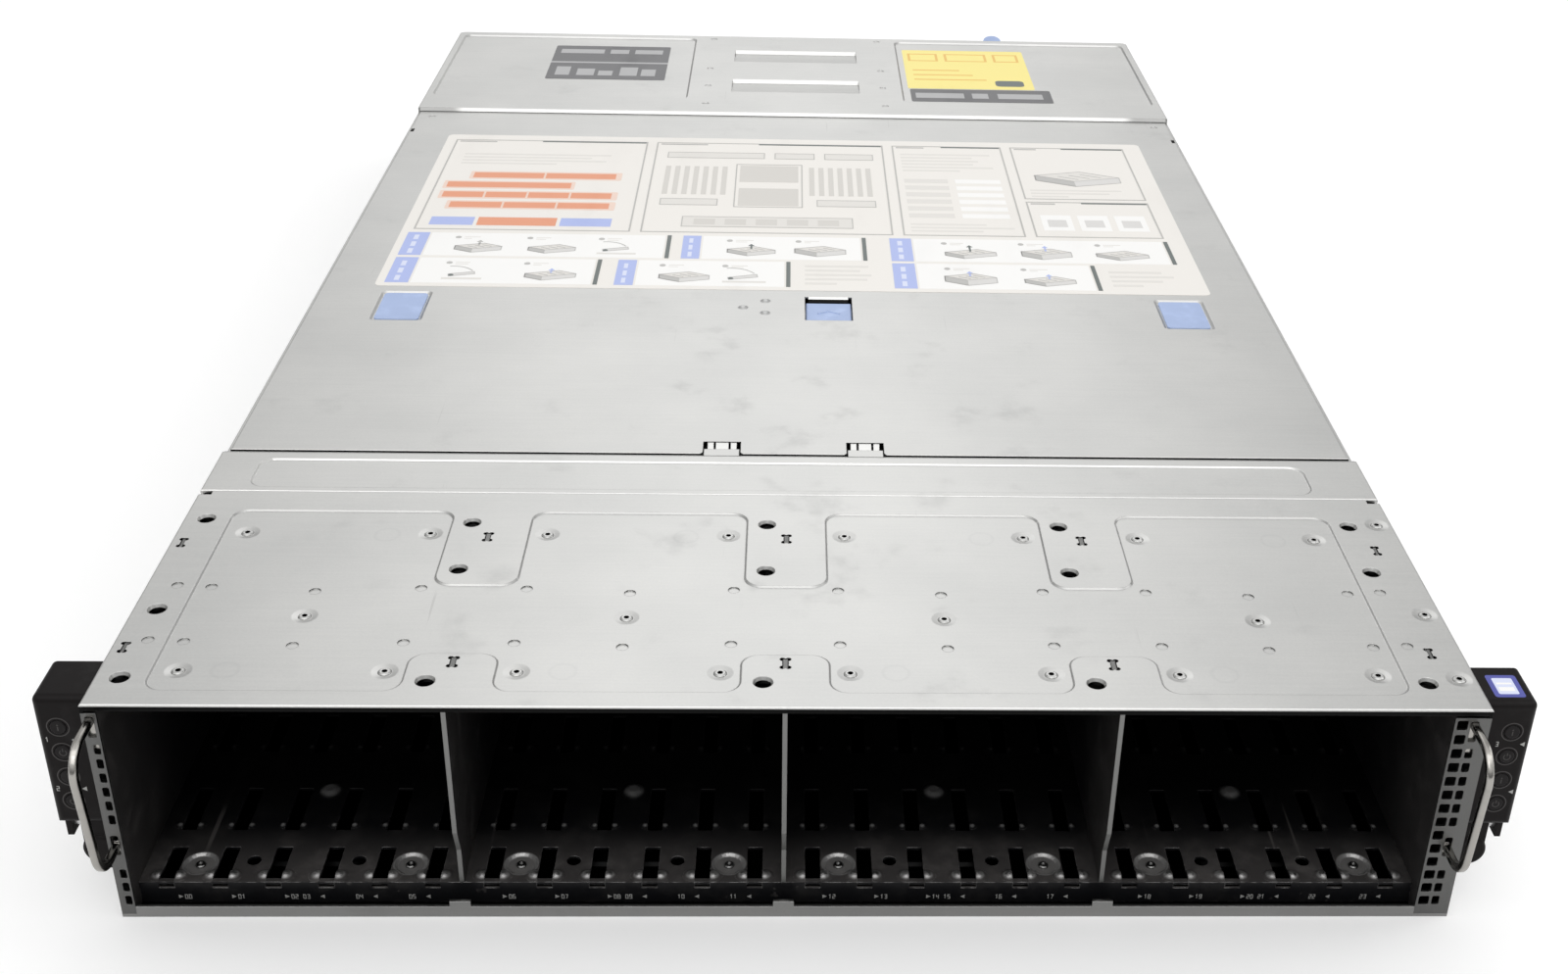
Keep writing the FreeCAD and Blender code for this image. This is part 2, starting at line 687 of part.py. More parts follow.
def front_deck():
    deck = top_panel(FRONT, at(DECK_END))
    hem = block(-SIDE_INNER, SIDE_INNER, FRONT, FRONT + SHEET, PANEL_UNDER - SHEET, PANEL_UNDER)
    deck = press(deck.fuse(hem), pit(press_outline(), PRESS_RADIUS, PRESS_DEPTH, PRESS_SLOPE))
    seats = [screw_seat(x, y) for x, y in screw_places()]
    deck = deck.multiFuse([boss for boss, hole in seats])
    cuts = [hole for boss, hole in seats] + deck_spots()
    for x in DIVIDER_CENTRES:
        cuts += [tab_slot(x, at(y), DIVIDER) for y in DIVIDER_TABS]
    for x in (CAGE_LEFT - INNER_SHEET / 2, CAGE_RIGHT + INNER_SHEET / 2):
        cuts += [tab_slot(x, at(y), INNER_SHEET) for y in WALL_TABS]
    for x, y, face in rivet_places():
        cuts.append(rod(RIVET_SHANK + SEAT_GAP / 2, (x, y, DECK_UNDER - THROUGH), (x, y, face + THROUGH)))
        cuts.append(cone(RIVET_RADIUS + SEAT_GAP, RIVET_DISH, x, y, face - RIVET_SINK, RIVET_SINK))
    for side in SIDES.values():
        x0, x1 = sorted((side * (HALF - CORNER_NOTCH_WIDTH), side * (HALF + THROUGH)))
        cuts.append(block(x0, x1, at(DECK_END - CORNER_NOTCH_LENGTH), at(DECK_END + THROUGH),
                          SIDE_TOP - THROUGH, TOP + THROUGH))
    return without(deck, cuts)


def deck_rivets():
    """Blind rivets in shallow dishes, with a low crown and the dimple that the mandrel leaves."""
    rivets = []
    for x, y, face in rivet_places():
        seat = face - RIVET_SINK
        crown = cone(RIVET_RADIUS, RIVET_RADIUS * RIVET_TAPER, x, y, seat, RIVET_CROWN)
        shank = rod(RIVET_SHANK, (x, y, face - 2 * SHEET), (x, y, seat))
        dimple = rod(RIVET_DIMPLE, (x, y, face - SHEET), (x, y, seat + RIVET_CROWN))
        rivets.append(crown.fuse(shank).cut(dimple))
    return rivets


def lug(x, half, start, end, top):
    """A finger of the tongue: it dips behind the tongue's edge and rises again to the cover's edge."""
    flat_end = start + LUG_FLAT
    low = top - LUG_DIP
    root = start - LUG_THICK
    section = ((root, top - SHEET / 2), (start, top - SHEET / 2), (start, low), (flat_end, low),
               (end, top - LUG_TIP), (end, top - LUG_TIP - LUG_THICK),
               (flat_end + LUG_THICK / 2, low - LUG_THICK), (root, low - LUG_THICK))
    return prism([Vector(x - half, y, z) for y, z in section], Vector(2 * half, 0, 0))


def mid_strip():
    """The narrow sheet behind the deck, with a long field and a tongue at each cover notch."""
    near = at(DECK_END) + SEAM
    far = at(STRIP_END)
    strip = top_panel(near, far)
    field = rectangle(CAGE_LEFT + PRESS_SIDE, CAGE_RIGHT - PRESS_SIDE,
                      near + STRIP_FIELD_FRONT, far - STRIP_FIELD_REAR, TOP)
    strip = press(strip, pit(field, PRESS_RADIUS, PRESS_DEPTH, PRESS_SLOPE))
    dip = [Vector(-HALF, far - STRIP_DIP_LENGTH, TOP), Vector(-HALF, far, TOP - STRIP_DIP),
           Vector(-HALF, far, TOP)]
    parts = [press(strip, prism(dip, Vector(2 * HALF, 0, 0)))]
    tongue_half = NOTCH_WIDTH / 2 - SEAM
    tongue_end = far + TONGUE_LENGTH
    tongue_top = TOP - STRIP_DIP
    lug_end = far + COVER_SEAM + NOTCH_DEPTH - SEAM
    for x in NOTCH_CENTRES:
        parts.append(block(x - tongue_half, x + tongue_half, far - SHEET, tongue_end,
                           tongue_top - SHEET, tongue_top))
        lugs = ((x, LUG_HALF), (x - SIDE_LUG_OFFSET, SIDE_LUG_HALF), (x + SIDE_LUG_OFFSET, SIDE_LUG_HALF))
        parts += [lug(middle, half, tongue_end, lug_end, tongue_top) for middle, half in lugs]
    return union(parts)


def slide_pocket(grow, top):
    """The room of the release slide, or with grow the tub around it."""
    half = SLIDE_WIDTH / 2 + grow
    y0 = at(SLIDE_FRONT) - grow
    y1 = at(SLIDE_FRONT) + SLIDE_LENGTH + SLIDE_TRAVEL + SLIDE_GAP + POCKET_RAMP + grow
    return block(SLIDE_CENTRE - half, SLIDE_CENTRE + half, y0, y1, COVER_TOP - SLIDE_POCKET - grow, top)


def pocket_ramp():
    """The sloped step at the rear of the slide's pocket, behind the slide's travel."""
    x = SLIDE_CENTRE - SLIDE_WIDTH / 2 + POCKET_RAMP_INSET
    y = at(SLIDE_FRONT) + SLIDE_LENGTH + SLIDE_TRAVEL + SLIDE_GAP
    far = y + POCKET_RAMP
    low = COVER_TOP - SLIDE_POCKET - SHEET / 2
    section = ((y, low), (far + SHEET / 2, low), (far + SHEET / 2, COVER_TOP), (far, COVER_TOP),
               (y, COVER_TOP - POCKET_RAMP))
    return prism([Vector(x, b, c) for b, c in section], Vector(SLIDE_WIDTH - 2 * POCKET_RAMP_INSET, 0, 0))


def pad_outline(side, grow, z):
    middle = side * (HALF - PAD_SIDE - PAD_WIDTH / 2)
    half = PAD_WIDTH / 2 + grow
    near = at(PAD_FRONT)
    return rectangle(middle - half, middle + half, near - grow, near + PAD_LENGTH + grow, z)


def sliding_cover():
    """The service cover: it slides to the rear, where its edge runs under the rear sheet."""
    far = REAR_PANEL_FRONT + COVER_LAP
    cover = block(-COVER_HALF, COVER_HALF, COVER_FRONT, far, COVER_UNDER, COVER_TOP)
    cover = rounded(cover, SHEET_ROUND, lambda box: box.ZLength < TOLERANCE and same(box.ZMax, COVER_TOP))
    low = COVER_UNDER - THROUGH
    high = COVER_TOP + THROUGH
    cuts = [block(x - NOTCH_WIDTH / 2, x + NOTCH_WIDTH / 2, COVER_FRONT - THROUGH,
                  COVER_FRONT + NOTCH_DEPTH, low, high) for x in NOTCH_CENTRES]
    for x in NOTCH_CENTRES:
        for s in (-1, 1):
            edge = x + s * NOTCH_WIDTH / 2
            middle = edge + s * NOTCH_ROUND
            x0, x1 = sorted((edge, middle))
            corner = block(x0, x1, COVER_FRONT, COVER_FRONT + NOTCH_ROUND, low, high)
            y = COVER_FRONT + NOTCH_ROUND
            cuts.append(corner.cut(rod(NOTCH_ROUND, (middle, y, low), (middle, y, high))))
    notch = at(EDGE_NOTCH_STATION)
    for side in SIDES.values():
        x0, x1 = sorted((side * (COVER_HALF - EDGE_NOTCH_WIDTH), side * (COVER_HALF + THROUGH)))
        cuts.append(block(x0, x1, notch, notch + EDGE_NOTCH_LENGTH, low, high))
        cuts.append(spot(side * (HALF - COVER_SPOT_INSET), REAR_PANEL_FRONT - COVER_SPOT_AHEAD, COVER_TOP))
    cover = without(cover, cuts).fuse(slide_pocket(SHEET, COVER_UNDER)).cut(slide_pocket(0, COVER_TOP))
    for side in SIDES.values():
        dish = pad_outline(side, PAD_DISH, COVER_TOP)
        cover = press(cover, pit(dish, PAD_CORNER, PAD_SINK, PAD_SLOPE))
    stamps = [cone(STAMP_RADIUS, STAMP_RADIUS * DOME_TAPER, x, at(y), COVER_TOP, STAMP_HEIGHT)
              for x, y in STAMPS]
    return cover.multiFuse(stamps + [pocket_ramp()])


def cover_latch():
    """The release slide in its pocket, with a raised arrow on its top."""
    half = SLIDE_WIDTH / 2 - SLIDE_GAP
    y0 = at(SLIDE_FRONT) + SLIDE_GAP
    y1 = at(SLIDE_FRONT) + SLIDE_LENGTH
    z0 = COVER_TOP - SLIDE_POCKET + SEAT_GAP
    z1 = z0 + SLIDE_THICK
    slide = block(SLIDE_CENTRE - half, SLIDE_CENTRE + half, y0, y1, z0, z1)
    slide = rounded(slide, SLIDE_ROUND, lambda box: box.ZLength < TOLERANCE and same(box.ZMax, z1))
    tip = Vector(SLIDE_CENTRE, (y0 + y1) / 2 + ARROW_AHEAD, z1)
    stroke = Vector(0, ARROW_STROKE, 0)
    arms = []
    for s in (-1, 1):
        foot = tip + Vector(s * ARROW_HALF, -ARROW_RISE, 0)
        arms.append(prism([tip, foot, foot - stroke, tip - stroke], Vector(0, 0, ARROW_HEIGHT)))
    return union([slide] + arms)


def grip_pads():
    pads = []
    for side in SIDES.values():
        base = outline(pad_outline(side, -SEAT_GAP, COVER_TOP - PAD_SINK), PAD_CORNER)
        pads.append(Part.Face(base).extrude(Vector(0, 0, PAD_THICK)))
    return pads


def rear_top_panel():
    """The fixed rear sheet: sunk fields over the sleds, and two ramps over the supply bay."""
    panel = top_panel(REAR_PANEL_FRONT, REAR)
    for side in SIDES.values():
        x0, x1 = sorted((side * (BAY_WALL + FIELD_BESIDE_WALL), side * (HALF - FIELD_SIDE)))
        field = rectangle(x0, x1, FIELD_FRONT, REAR - FIELD_REAR, TOP)
        panel = press(panel, pit(field, FIELD_RADIUS, FIELD_DEPTH, FIELD_SLOPE))
    for wall in RAMP_WALLS:
        y = REAR_PANEL_FRONT + wall
        section = [Vector(-RAMP_HALF, y - RAMP_LENGTH, TOP), Vector(-RAMP_HALF, y, TOP - RAMP_DEPTH),
                   Vector(-RAMP_HALF, y + RAMP_DEPTH, TOP)]
        panel = press(panel, prism(section, Vector(2 * RAMP_HALF, 0, 0)))
    low = COVER_TOP + SEAT_GAP
    left = -HALF + NOSE_INSET
    nose = prism([Vector(left, REAR_PANEL_FRONT, TOP), Vector(left, REAR_PANEL_FRONT - NOSE_LENGTH, low),
                  Vector(left, REAR_PANEL_FRONT + SHEET, low), Vector(left, REAR_PANEL_FRONT + SHEET, TOP)],
                 Vector(-2 * left, 0, 0))
    panel = union([panel, nose])
    reach = BAY_WALL + REAR_SPOT_BESIDE_WALL
    cuts = [spot(x, REAR_PANEL_FRONT + y, TOP) for x in (-reach, reach) for y in REAR_SPOT_STATIONS]
    low = SIDE_TOP - THROUGH
    high = TOP + THROUGH
    for side in SIDES.values():
        middle = side * (HALF - REAR_CORNER)
        x0, x1 = sorted((middle, side * (HALF + THROUGH)))
        corner = block(x0, x1, REAR - REAR_CORNER, REAR + THROUGH, low, high)
        cuts.append(corner.cut(rod(REAR_CORNER, (middle, REAR - REAR_CORNER, low),
                                   (middle, REAR - REAR_CORNER, high))))
    return without(panel, cuts)


# Drive cage

def drive_places(bay_centre):
    return [bay_centre + (i - (DRIVE_COUNT - 1) / 2) * DRIVE_PITCH for i in range(DRIVE_COUNT)]


def cage_floor():
    """The black floor of the bays: a slot under each drive, screw domes and locating bumps."""
    top = CAGE_FLOOR_TOP
    under = top - INNER_SHEET
    lip = at(CAGE_FRONT)
    floor = union([
        block(CAGE_LEFT, CAGE_RIGHT, lip, at(CAGE_END), under, top),
        block(CAGE_LEFT, CAGE_RIGHT, lip, lip + INNER_SHEET, SHEET, under),
    ])

    def dome(radius, x, station, height):
        return cone(radius, radius * DOME_TAPER, x, at(station), top, height)

    slot_half = DRIVE_SLOT_WIDTH / 2
    domes = []
    cuts = []
    for centre in BAY_CENTRES:
        drives = drive_places(centre)
        lands = [x + DRIVE_PITCH / 2 for x in drives[:-1]]
        for x in drives:
            cuts.append(block(x - slot_half, x + slot_half, lip - THROUGH, at(FRONT_SLOT_END),
                              top - LIP_NOTCH, top + THROUGH))
            for near, far in DRIVE_SLOTS:
                cuts.append(block(x - slot_half, x + slot_half, at(near), at(far),
                                  under - THROUGH, top + THROUGH))
            for s in (-1, 1):
                domes += [dome(BUMP_RADIUS, x + s * BUMP_BESIDE_SLOT, y, BUMP_HEIGHT) for y in DRIVE_BUMPS]
        for x in (lands[0], lands[-1]):
            y = at(CAGE_DOME_STATION)
            domes.append(dome(CAGE_DOME_RADIUS, x, CAGE_DOME_STATION, CAGE_DOME_HEIGHT))
            cuts.append(rod(CAGE_DOME_BORE, (x, y, under - THROUGH), (x, y, top + 2 * CAGE_DOME_HEIGHT)))
        for x in (lands[1], lands[-2]):
            y = at(CAGE_HOLE_STATION)
            cuts.append(rod(CAGE_HOLE_RADIUS, (x, y, under - THROUGH), (x, y, top + THROUGH)))
        domes.append(dome(BAY_DOME_RADIUS, lands[len(lands) // 2], BAY_DOME_STATION, CAGE_DOME_HEIGHT))
    return without(floor.multiFuse(domes), cuts)


def cage_wall(side):
    x = CAGE_RIGHT if side > 0 else CAGE_LEFT - INNER_SHEET
    wall = block(x, x + INNER_SHEET, FRONT + SHEET, at(CAGE_END), SHEET, DECK_UNDER)
    return with_tabs(wall, x + INNER_SHEET / 2, INNER_SHEET, WALL_TABS)


def bay_divider(x):
    """A bay wall, cut back at the foot of its front edge and tabbed through the deck."""
    near = at(DIVIDER_SETBACK)
    foot = at(DIVIDER_FOOT_SETBACK)
    far = at(CAGE_END)
    low = CAGE_FLOOR_TOP
    top = DECK_UNDER - SEAT_GAP
    profile = ((foot, low), (far, low), (far, top), (near, top),
               (near, low + DIVIDER_FLARE_HEIGHT), (foot, low + DIVIDER_FOOT_HEIGHT))
    wall = prism([Vector(x - DIVIDER / 2, y, z) for y, z in profile], Vector(DIVIDER, 0, 0))
    return with_tabs(wall, x, DIVIDER, DIVIDER_TABS)


def drive_backplane():
    """The board behind the bays, with a socket for each drive."""
    face = at(CAGE_END)
    parts = [block(CAGE_LEFT, CAGE_RIGHT, face, face + BOARD, SHEET, DECK_UNDER - SEAT_GAP)]
    half = DRIVE_SOCKET_WIDTH / 2
    for centre in BAY_CENTRES:
        for x in drive_places(centre):
            parts.append(block(x - half, x + half, face - DRIVE_SOCKET_DEPTH, face,
                               DRIVE_SOCKET_LOW, DRIVE_SOCKET_LOW + DRIVE_SOCKET_HEIGHT))
    return union(parts)


# Front strips and handles

def handle_centre(side):
    return HALF - RIGHT_HANDLE_INSET if side > 0 else -HALF + LEFT_HANDLE_INSET


def strip_columns(side):
    """Hole columns of a front strip: the middle of each, and its width."""
    if side < 0:
        return [(CAGE_LEFT - LEFT_HOLE_INSET, LEFT_HOLE_WIDTH)]
    return [(CAGE_RIGHT + RIGHT_HOLE_INSET, RIGHT_HOLE_WIDTH), (handle_centre(side), OUTER_HOLE_WIDTH)]


def front_strip(side):
    """The perforated front sheet beside the bays, slotted for the two ends of a handle."""
    x0, x1 = (CAGE_RIGHT, HALF) if side > 0 else (-HALF, CAGE_LEFT)
    strip = block(x0, x1, FRONT, FRONT + SHEET, SHEET, SIDE_TOP)
    middle = handle_centre(side)
    slot_half = HANDLE_TONGUE / 2 + SEAT_GAP
    slot_low = HANDLE_LOW - HANDLE_SLOT_BELOW
    slots = ((slot_low, slot_low + HANDLE_SLOT), (HANDLE_HIGH - HANDLE_SLOT, HANDLE_HIGH + SEAT_GAP))

    def window(x, half, low, high):
        y = FRONT - THROUGH
        corners = [Vector(x - half, y, low), Vector(x + half, y, low),
                   Vector(x + half, y, high), Vector(x - half, y, high)]
        return Part.Face(outline(corners, STRIP_HOLE_CORNER)).extrude(Vector(0, SHEET + 2 * THROUGH, 0))

    cuts = [window(middle, slot_half, low, high) for low, high in slots]
    rows = int((SIDE_TOP - STRIP_HOLE_FIRST) // STRIP_HOLE_PITCH) + 1
    for x, width in strip_columns(side):
        beside_handle = abs(x - middle) < slot_half + width / 2 + STRIP_HOLE_LAND
        for row in range(rows):
            low = STRIP_HOLE_FIRST + row * STRIP_HOLE_PITCH - STRIP_HOLE_HEIGHT / 2
            high = low + STRIP_HOLE_HEIGHT
            meets_slot = any(low < b + STRIP_HOLE_LAND and high > a - STRIP_HOLE_LAND for a, b in slots)
            if high < SIDE_TOP - STRIP_HOLE_LAND and not (beside_handle and meets_slot):
                cuts.append(window(x, width / 2, low, high))
    return without(strip, cuts)


def pull_handle(side):
    """A bowed bar handle against the strip's face; its tongues pass through to pads behind."""
    x = handle_centre(side)
    x0 = x - HANDLE_WIDTH / 2
    x1 = x + HANDLE_WIDTH / 2
    face = FRONT

    def bow(shrink):
        behind = face + 2 * HANDLE_BEND
        low = HANDLE_LOW + shrink
        high = HANDLE_HIGH - shrink
        near = face - HANDLE_REACH + shrink
        corners = [Vector(x0, behind, low), Vector(x0, behind, high),
                   Vector(x0, near, high), Vector(x0, near + HANDLE_LEAN, low)]
        return Part.Face(outline(corners, HANDLE_BEND - shrink)).extrude(Vector(HANDLE_WIDTH, 0, 0))

    loop = bow(0.0).cut(bow(HANDLE_BAR))
    loop = loop.common(block(x0, x1, face - 2 * HANDLE_REACH, face, 0, TOP))
    loop = rounded(loop, HANDLE_EASE, lambda box: box.XLength < TOLERANCE and not same(box.YMin, face))
    parts = [loop]
    tongue_half = HANDLE_TONGUE / 2
    behind = face + SHEET
    ends = ((HANDLE_LOW, HANDLE_LOW - HANDLE_PAD, HANDLE_LOW + HANDLE_BAR),
            (HANDLE_HIGH - HANDLE_BAR, HANDLE_HIGH - HANDLE_SLOT - HANDLE_PAD, HANDLE_HIGH))
    for low, pad_low, pad_high in ends:
        parts.append(block(x - tongue_half, x + tongue_half, face - HANDLE_ARM, behind + HANDLE_PAD_DEPTH,
                           low + HANDLE_EASE, low + HANDLE_BAR - HANDLE_EASE))
        parts.append(block(x - tongue_half, x + tongue_half, behind, behind + HANDLE_PAD_DEPTH,
                           pad_low, pad_high))
    return union(parts)


# Control ears

def ear_housing(side):
    """A hollow control ear, open behind, with four button holes and a lug for the latch pin."""
    shell = block(HALF, EAR_OUTER, EAR_FACE, EAR_BACK, EAR_LOW, EAR_HIGH)

    def face_or_top_edge(box):
        return same(box.YMax, EAR_FACE) or (same(box.XMin, EAR_OUTER) and same(box.ZMin, EAR_HIGH))

    shell = rounded(shell, EAR_ROUND, face_or_top_edge)
    room = block(HALF + EAR_WALL, EAR_OUTER - EAR_WALL, EAR_FACE + EAR_WALL, EAR_BACK + THROUGH,
                 EAR_LOW + EAR_WALL, EAR_HIGH - EAR_WALL)
    lug = block(LUG_INNER, LUG_OUTER, LATCH_PIVOT_Y - LATCH_LUG_HALF, LATCH_PIVOT_Y + LATCH_LUG_HALF,
                LATCH_PIVOT_Z - LATCH_LUG_HALF, EAR_LOW)
    cuts = [rod(LATCH_PIN_RADIUS + PIN_GAP, (LUG_INNER - THROUGH, LATCH_PIVOT_Y, LATCH_PIVOT_Z),
                (LUG_OUTER + THROUGH, LATCH_PIVOT_Y, LATCH_PIVOT_Z))]
    for x, z in button_places(1):
        cuts.append(rod(BUTTON_RADIUS + BUTTON_GAP, (x, EAR_FACE - THROUGH, z),
                        (x, EAR_FACE + EAR_WALL + THROUGH, z)))
    return on_side(without(union([shell.cut(room), lug]), cuts), side)


def button_places(side):
    x = side * (HALF + EAR_WIDTH / 2 + BUTTON_OUT)
    top = EAR_HIGH - BUTTON_BELOW_EAR_TOP
    return [(x, top - i * BUTTON_PITCH) for i in range(len(BUTTON_NAMES))]


def ear_button(x, z):
    """A push button held behind the ear's face by its collar."""
    face = EAR_FACE - BUTTON_PROUD
    end = COLLAR_FRONT + BUTTON_COLLAR_THICK
    cap = rod(BUTTON_RADIUS, (x, face, z), (x, end, z))
    cap = rounded(cap, BUTTON_ROUND, lambda box: same(box.YMax, face))
    return cap.fuse(rod(BUTTON_COLLAR, (x, COLLAR_FRONT, z), (x, end, z)))


def ear_boards():
    """The switch board of each ear, with a switch behind each button."""
    switch_front = COLLAR_FRONT + BUTTON_COLLAR_THICK + BUTTON_TRAVEL + SWITCH_GAP
    board_front = switch_front + SWITCH_DEPTH
    edge = EAR_WALL + SEAT_GAP / 2
    boards = []
    for side in SIDES.values():
        x0, x1 = sorted((side * (HALF + edge), side * (EAR_OUTER - edge)))
        parts = [block(x0, x1, board_front, board_front + BOARD, EAR_LOW + edge, EAR_HIGH - edge)]
        for x, z in button_places(side):
            parts.append(block(x - SWITCH_HALF, x + SWITCH_HALF, switch_front, board_front,
                               z - SWITCH_HALF, z + SWITCH_HALF))
        boards.append(union(parts))
    return boards


def rack_latch(side):
    """The sprung rack latch under an ear: a finger knob in front and a hook to the rear."""
    y = LATCH_PIVOT_Y
    z = LATCH_PIVOT_Z
    outer = HALF + LATCH_OUTER
    knob_x = outer - KNOB_INSET
    knob_z = z - KNOB_BELOW
    hook_x = HALF + HOOK_OFFSET
    hook_low = z - HOOK_BELOW
    hook_top = hook_low + HOOK_THICK
    foot_x = HALF + FOOT_INNER
    hook_end = y + HOOK_REACH
    knob = rod(KNOB_RADIUS, (knob_x, y - KNOB_HALF, knob_z), (knob_x, y + KNOB_HALF, knob_z))
    knob = rounded(knob, KNOB_ROUND, lambda box: same(box.YMax, y - KNOB_HALF))
    latch = union([
        block(HALF + LATCH_INNER, outer, y - LATCH_FRONT, y + LATCH_REAR, z - LATCH_BELOW, z + LATCH_ABOVE),
        knob,
        block(foot_x, foot_x + FOOT_WIDTH, y - LATCH_FRONT, y + LATCH_REAR, z - FOOT_BELOW, z - KNOB_BELOW),
        block(hook_x, hook_x + HOOK_WIDTH, y, hook_end, hook_low, hook_top),
        block(hook_x, hook_x + HOOK_WIDTH, hook_end - HOOK_TIP, hook_end, hook_low, hook_top + HOOK_TIP),
    ])
    lug_room = block(LUG_INNER - SLIDE_GAP, EAR_OUTER, y - 2 * LATCH_LUG_HALF, y + 2 * LATCH_LUG_HALF,
                     z - 2 * LATCH_LUG_HALF, EAR_LOW)
    bore = rod(LATCH_PIN_RADIUS + PIN_GAP, (HALF, y, z), (EAR_OUTER, y, z))
    return on_side(without(latch, [lug_room, bore]), side)


def rack_latch_pins():
    pins = []
    for side in SIDES.values():
        pins.append(rod(LATCH_PIN_RADIUS, (side * SIDE_INNER, LATCH_PIVOT_Y, LATCH_PIVOT_Z),
                        (side * LUG_OUTER, LATCH_PIVOT_Y, LATCH_PIVOT_Z)))
    return pins


# Fans and midplane

def fan_frame(x):
    """A square fan frame with its bore, a motor cup on struts at the rear and the fixed shaft."""
    y1 = FAN_Y + FAN_DEPTH
    half = FAN_SIZE / 2
    reach = FAN_BORE + FAN_RIM / 2
    strut = FAN_STRUT / 2
    frame = block(x - half, x + half, FAN_Y, y1, FAN_Z - half, FAN_Z + half)
    frame = frame.cut(rod(FAN_BORE, (x, FAN_Y - THROUGH, FAN_Z), (x, y1 + THROUGH, FAN_Z)))
    return union([
        frame,
        rod(FAN_HUB, (x, y1 - FAN_CUP, FAN_Z), (x, y1, FAN_Z)),
        rod(FAN_SHAFT, (x, FAN_Y + ROTOR_INSET, FAN_Z), (x, y1, FAN_Z)),
        block(x - reach, x + reach, y1 - FAN_STRUT_DEPTH, y1, FAN_Z - strut, FAN_Z + strut),
        block(x - strut, x + strut, y1 - FAN_STRUT_DEPTH, y1, FAN_Z - reach, FAN_Z + reach),
    ])


def fan_rotor(x):
    """A hub that runs on the fixed shaft, with pitched blades."""
    y0 = FAN_Y + ROTOR_INSET
    y1 = FAN_Y + FAN_DEPTH - FAN_CUP - ROTOR_CUP_GAP
    tip = FAN_BORE - FAN_TIP_GAP
    hub = rod(FAN_HUB, (x, y0, FAN_Z), (x, y1, FAN_Z))
    blade = block(x - FAN_BLADE / 2, x + FAN_BLADE / 2, y0 + BLADE_INSET, y1 - BLADE_INSET,
                  FAN_Z, FAN_Z + 2 * tip)
    blade.rotate(Vector(x, (y0 + y1) / 2, FAN_Z), Vector(0, 0, 1), FAN_PITCH_ANGLE)
    blades = []
    for i in range(FAN_BLADES):
        turned = blade.copy()
        turned.rotate(Vector(x, y0, FAN_Z), Vector(0, 1, 0), i * 360 / FAN_BLADES)
        blades.append(turned)
    rotor = hub.multiFuse(blades).common(rod(tip, (x, y0, FAN_Z), (x, y1, FAN_Z)))
    return rotor.cut(rod(FAN_SHAFT + PIN_GAP, (x, y0 - THROUGH, FAN_Z), (x, y1 + THROUGH, FAN_Z)))


def midplane():
    """The upright board that sleds and supplies plug into, open where the air goes through."""
    board = block(-SIDE_INNER, SIDE_INNER, MIDPLANE_FRONT, MIDPLANE_REAR, SHEET, SIDE_TOP)
    socket_end = MIDPLANE_REAR + SOCKET_DEPTH
    window_width = (SLED_WIDTH - (WINDOW_COUNT + 1) * WINDOW_RIB) / WINDOW_COUNT
    socket_half = SLED_WIDTH / 2 - SOCKET_SIDE
    windows = []
    sockets = []
    for base in LEVELS.values():
        for side in SIDES.values():
            x0, x1 = sled_sides(side)
            middle = (x0 + x1) / 2
            for i in range(WINDOW_COUNT):
                left = x0 + WINDOW_RIB + i * (window_width + WINDOW_RIB)
                windows.append(block(left, left + window_width, MIDPLANE_FRONT - THROUGH,
                                     MIDPLANE_REAR + THROUGH, base + WINDOW_LOW,
                                     base + SLED_HEIGHT - WINDOW_BELOW_TOP))
            sockets.append(block(middle - socket_half, middle + socket_half, MIDPLANE_REAR, socket_end,
                                 base + SOCKET_LOW, base + SOCKET_LOW + SOCKET_HEIGHT))
        low = base + SUPPLY_SOCKET_LOW
        sockets.append(block(-SUPPLY_SOCKET_HALF, SUPPLY_SOCKET_HALF, MIDPLANE_REAR, socket_end,
                             low, low + SUPPLY_SOCKET_HEIGHT))
    return union([without(board, windows)] + sockets)


# Rear frame and sleds

def sled_bay_frame():
    """The welded frame of the rear: two upright walls and the shelf between the two levels."""
    shelf = block(-SIDE_INNER, SIDE_INNER, SLED_FRONT, REAR, SHELF_UNDER, SHELF_TOP)
    walls = []
    for side in SIDES.values():
        x0, x1 = sorted((side * SUPPLY_BAY_HALF, side * BAY_WALL))
        walls.append(block(x0, x1, MIDPLANE_REAR, REAR, SHEET, SIDE_TOP))
    return union([shelf] + walls)


def sled_sides(side):
    middle = side * SLED_CENTRE
    return middle - SLED_WIDTH / 2, middle + SLED_WIDTH / 2


def lever_pivot(base):
    return REAR + LEVER_OUT, base + SLED_HEIGHT - LEVER_BELOW_TOP


def lever_bracket(middle, base):
    """Two ears on a sled's rear panel, with the pin that the lever turns on."""
    y, z = lever_pivot(base)
    inner = LEVER_WIDTH / 2 + SEAT_GAP
    outer = inner + LEVER_EAR
    parts = [rod(LEVER_PIN, (middle - outer, y, z), (middle + outer, y, z))]
    for s in (-1, 1):
        x0, x1 = sorted((middle + s * inner, middle + s * outer))
        parts.append(block(x0, x1, REAR - INNER_SHEET, y + LEVER_EAR_HALF,
                           z - LEVER_EAR_HALF, z + LEVER_EAR_HALF))
    return parts


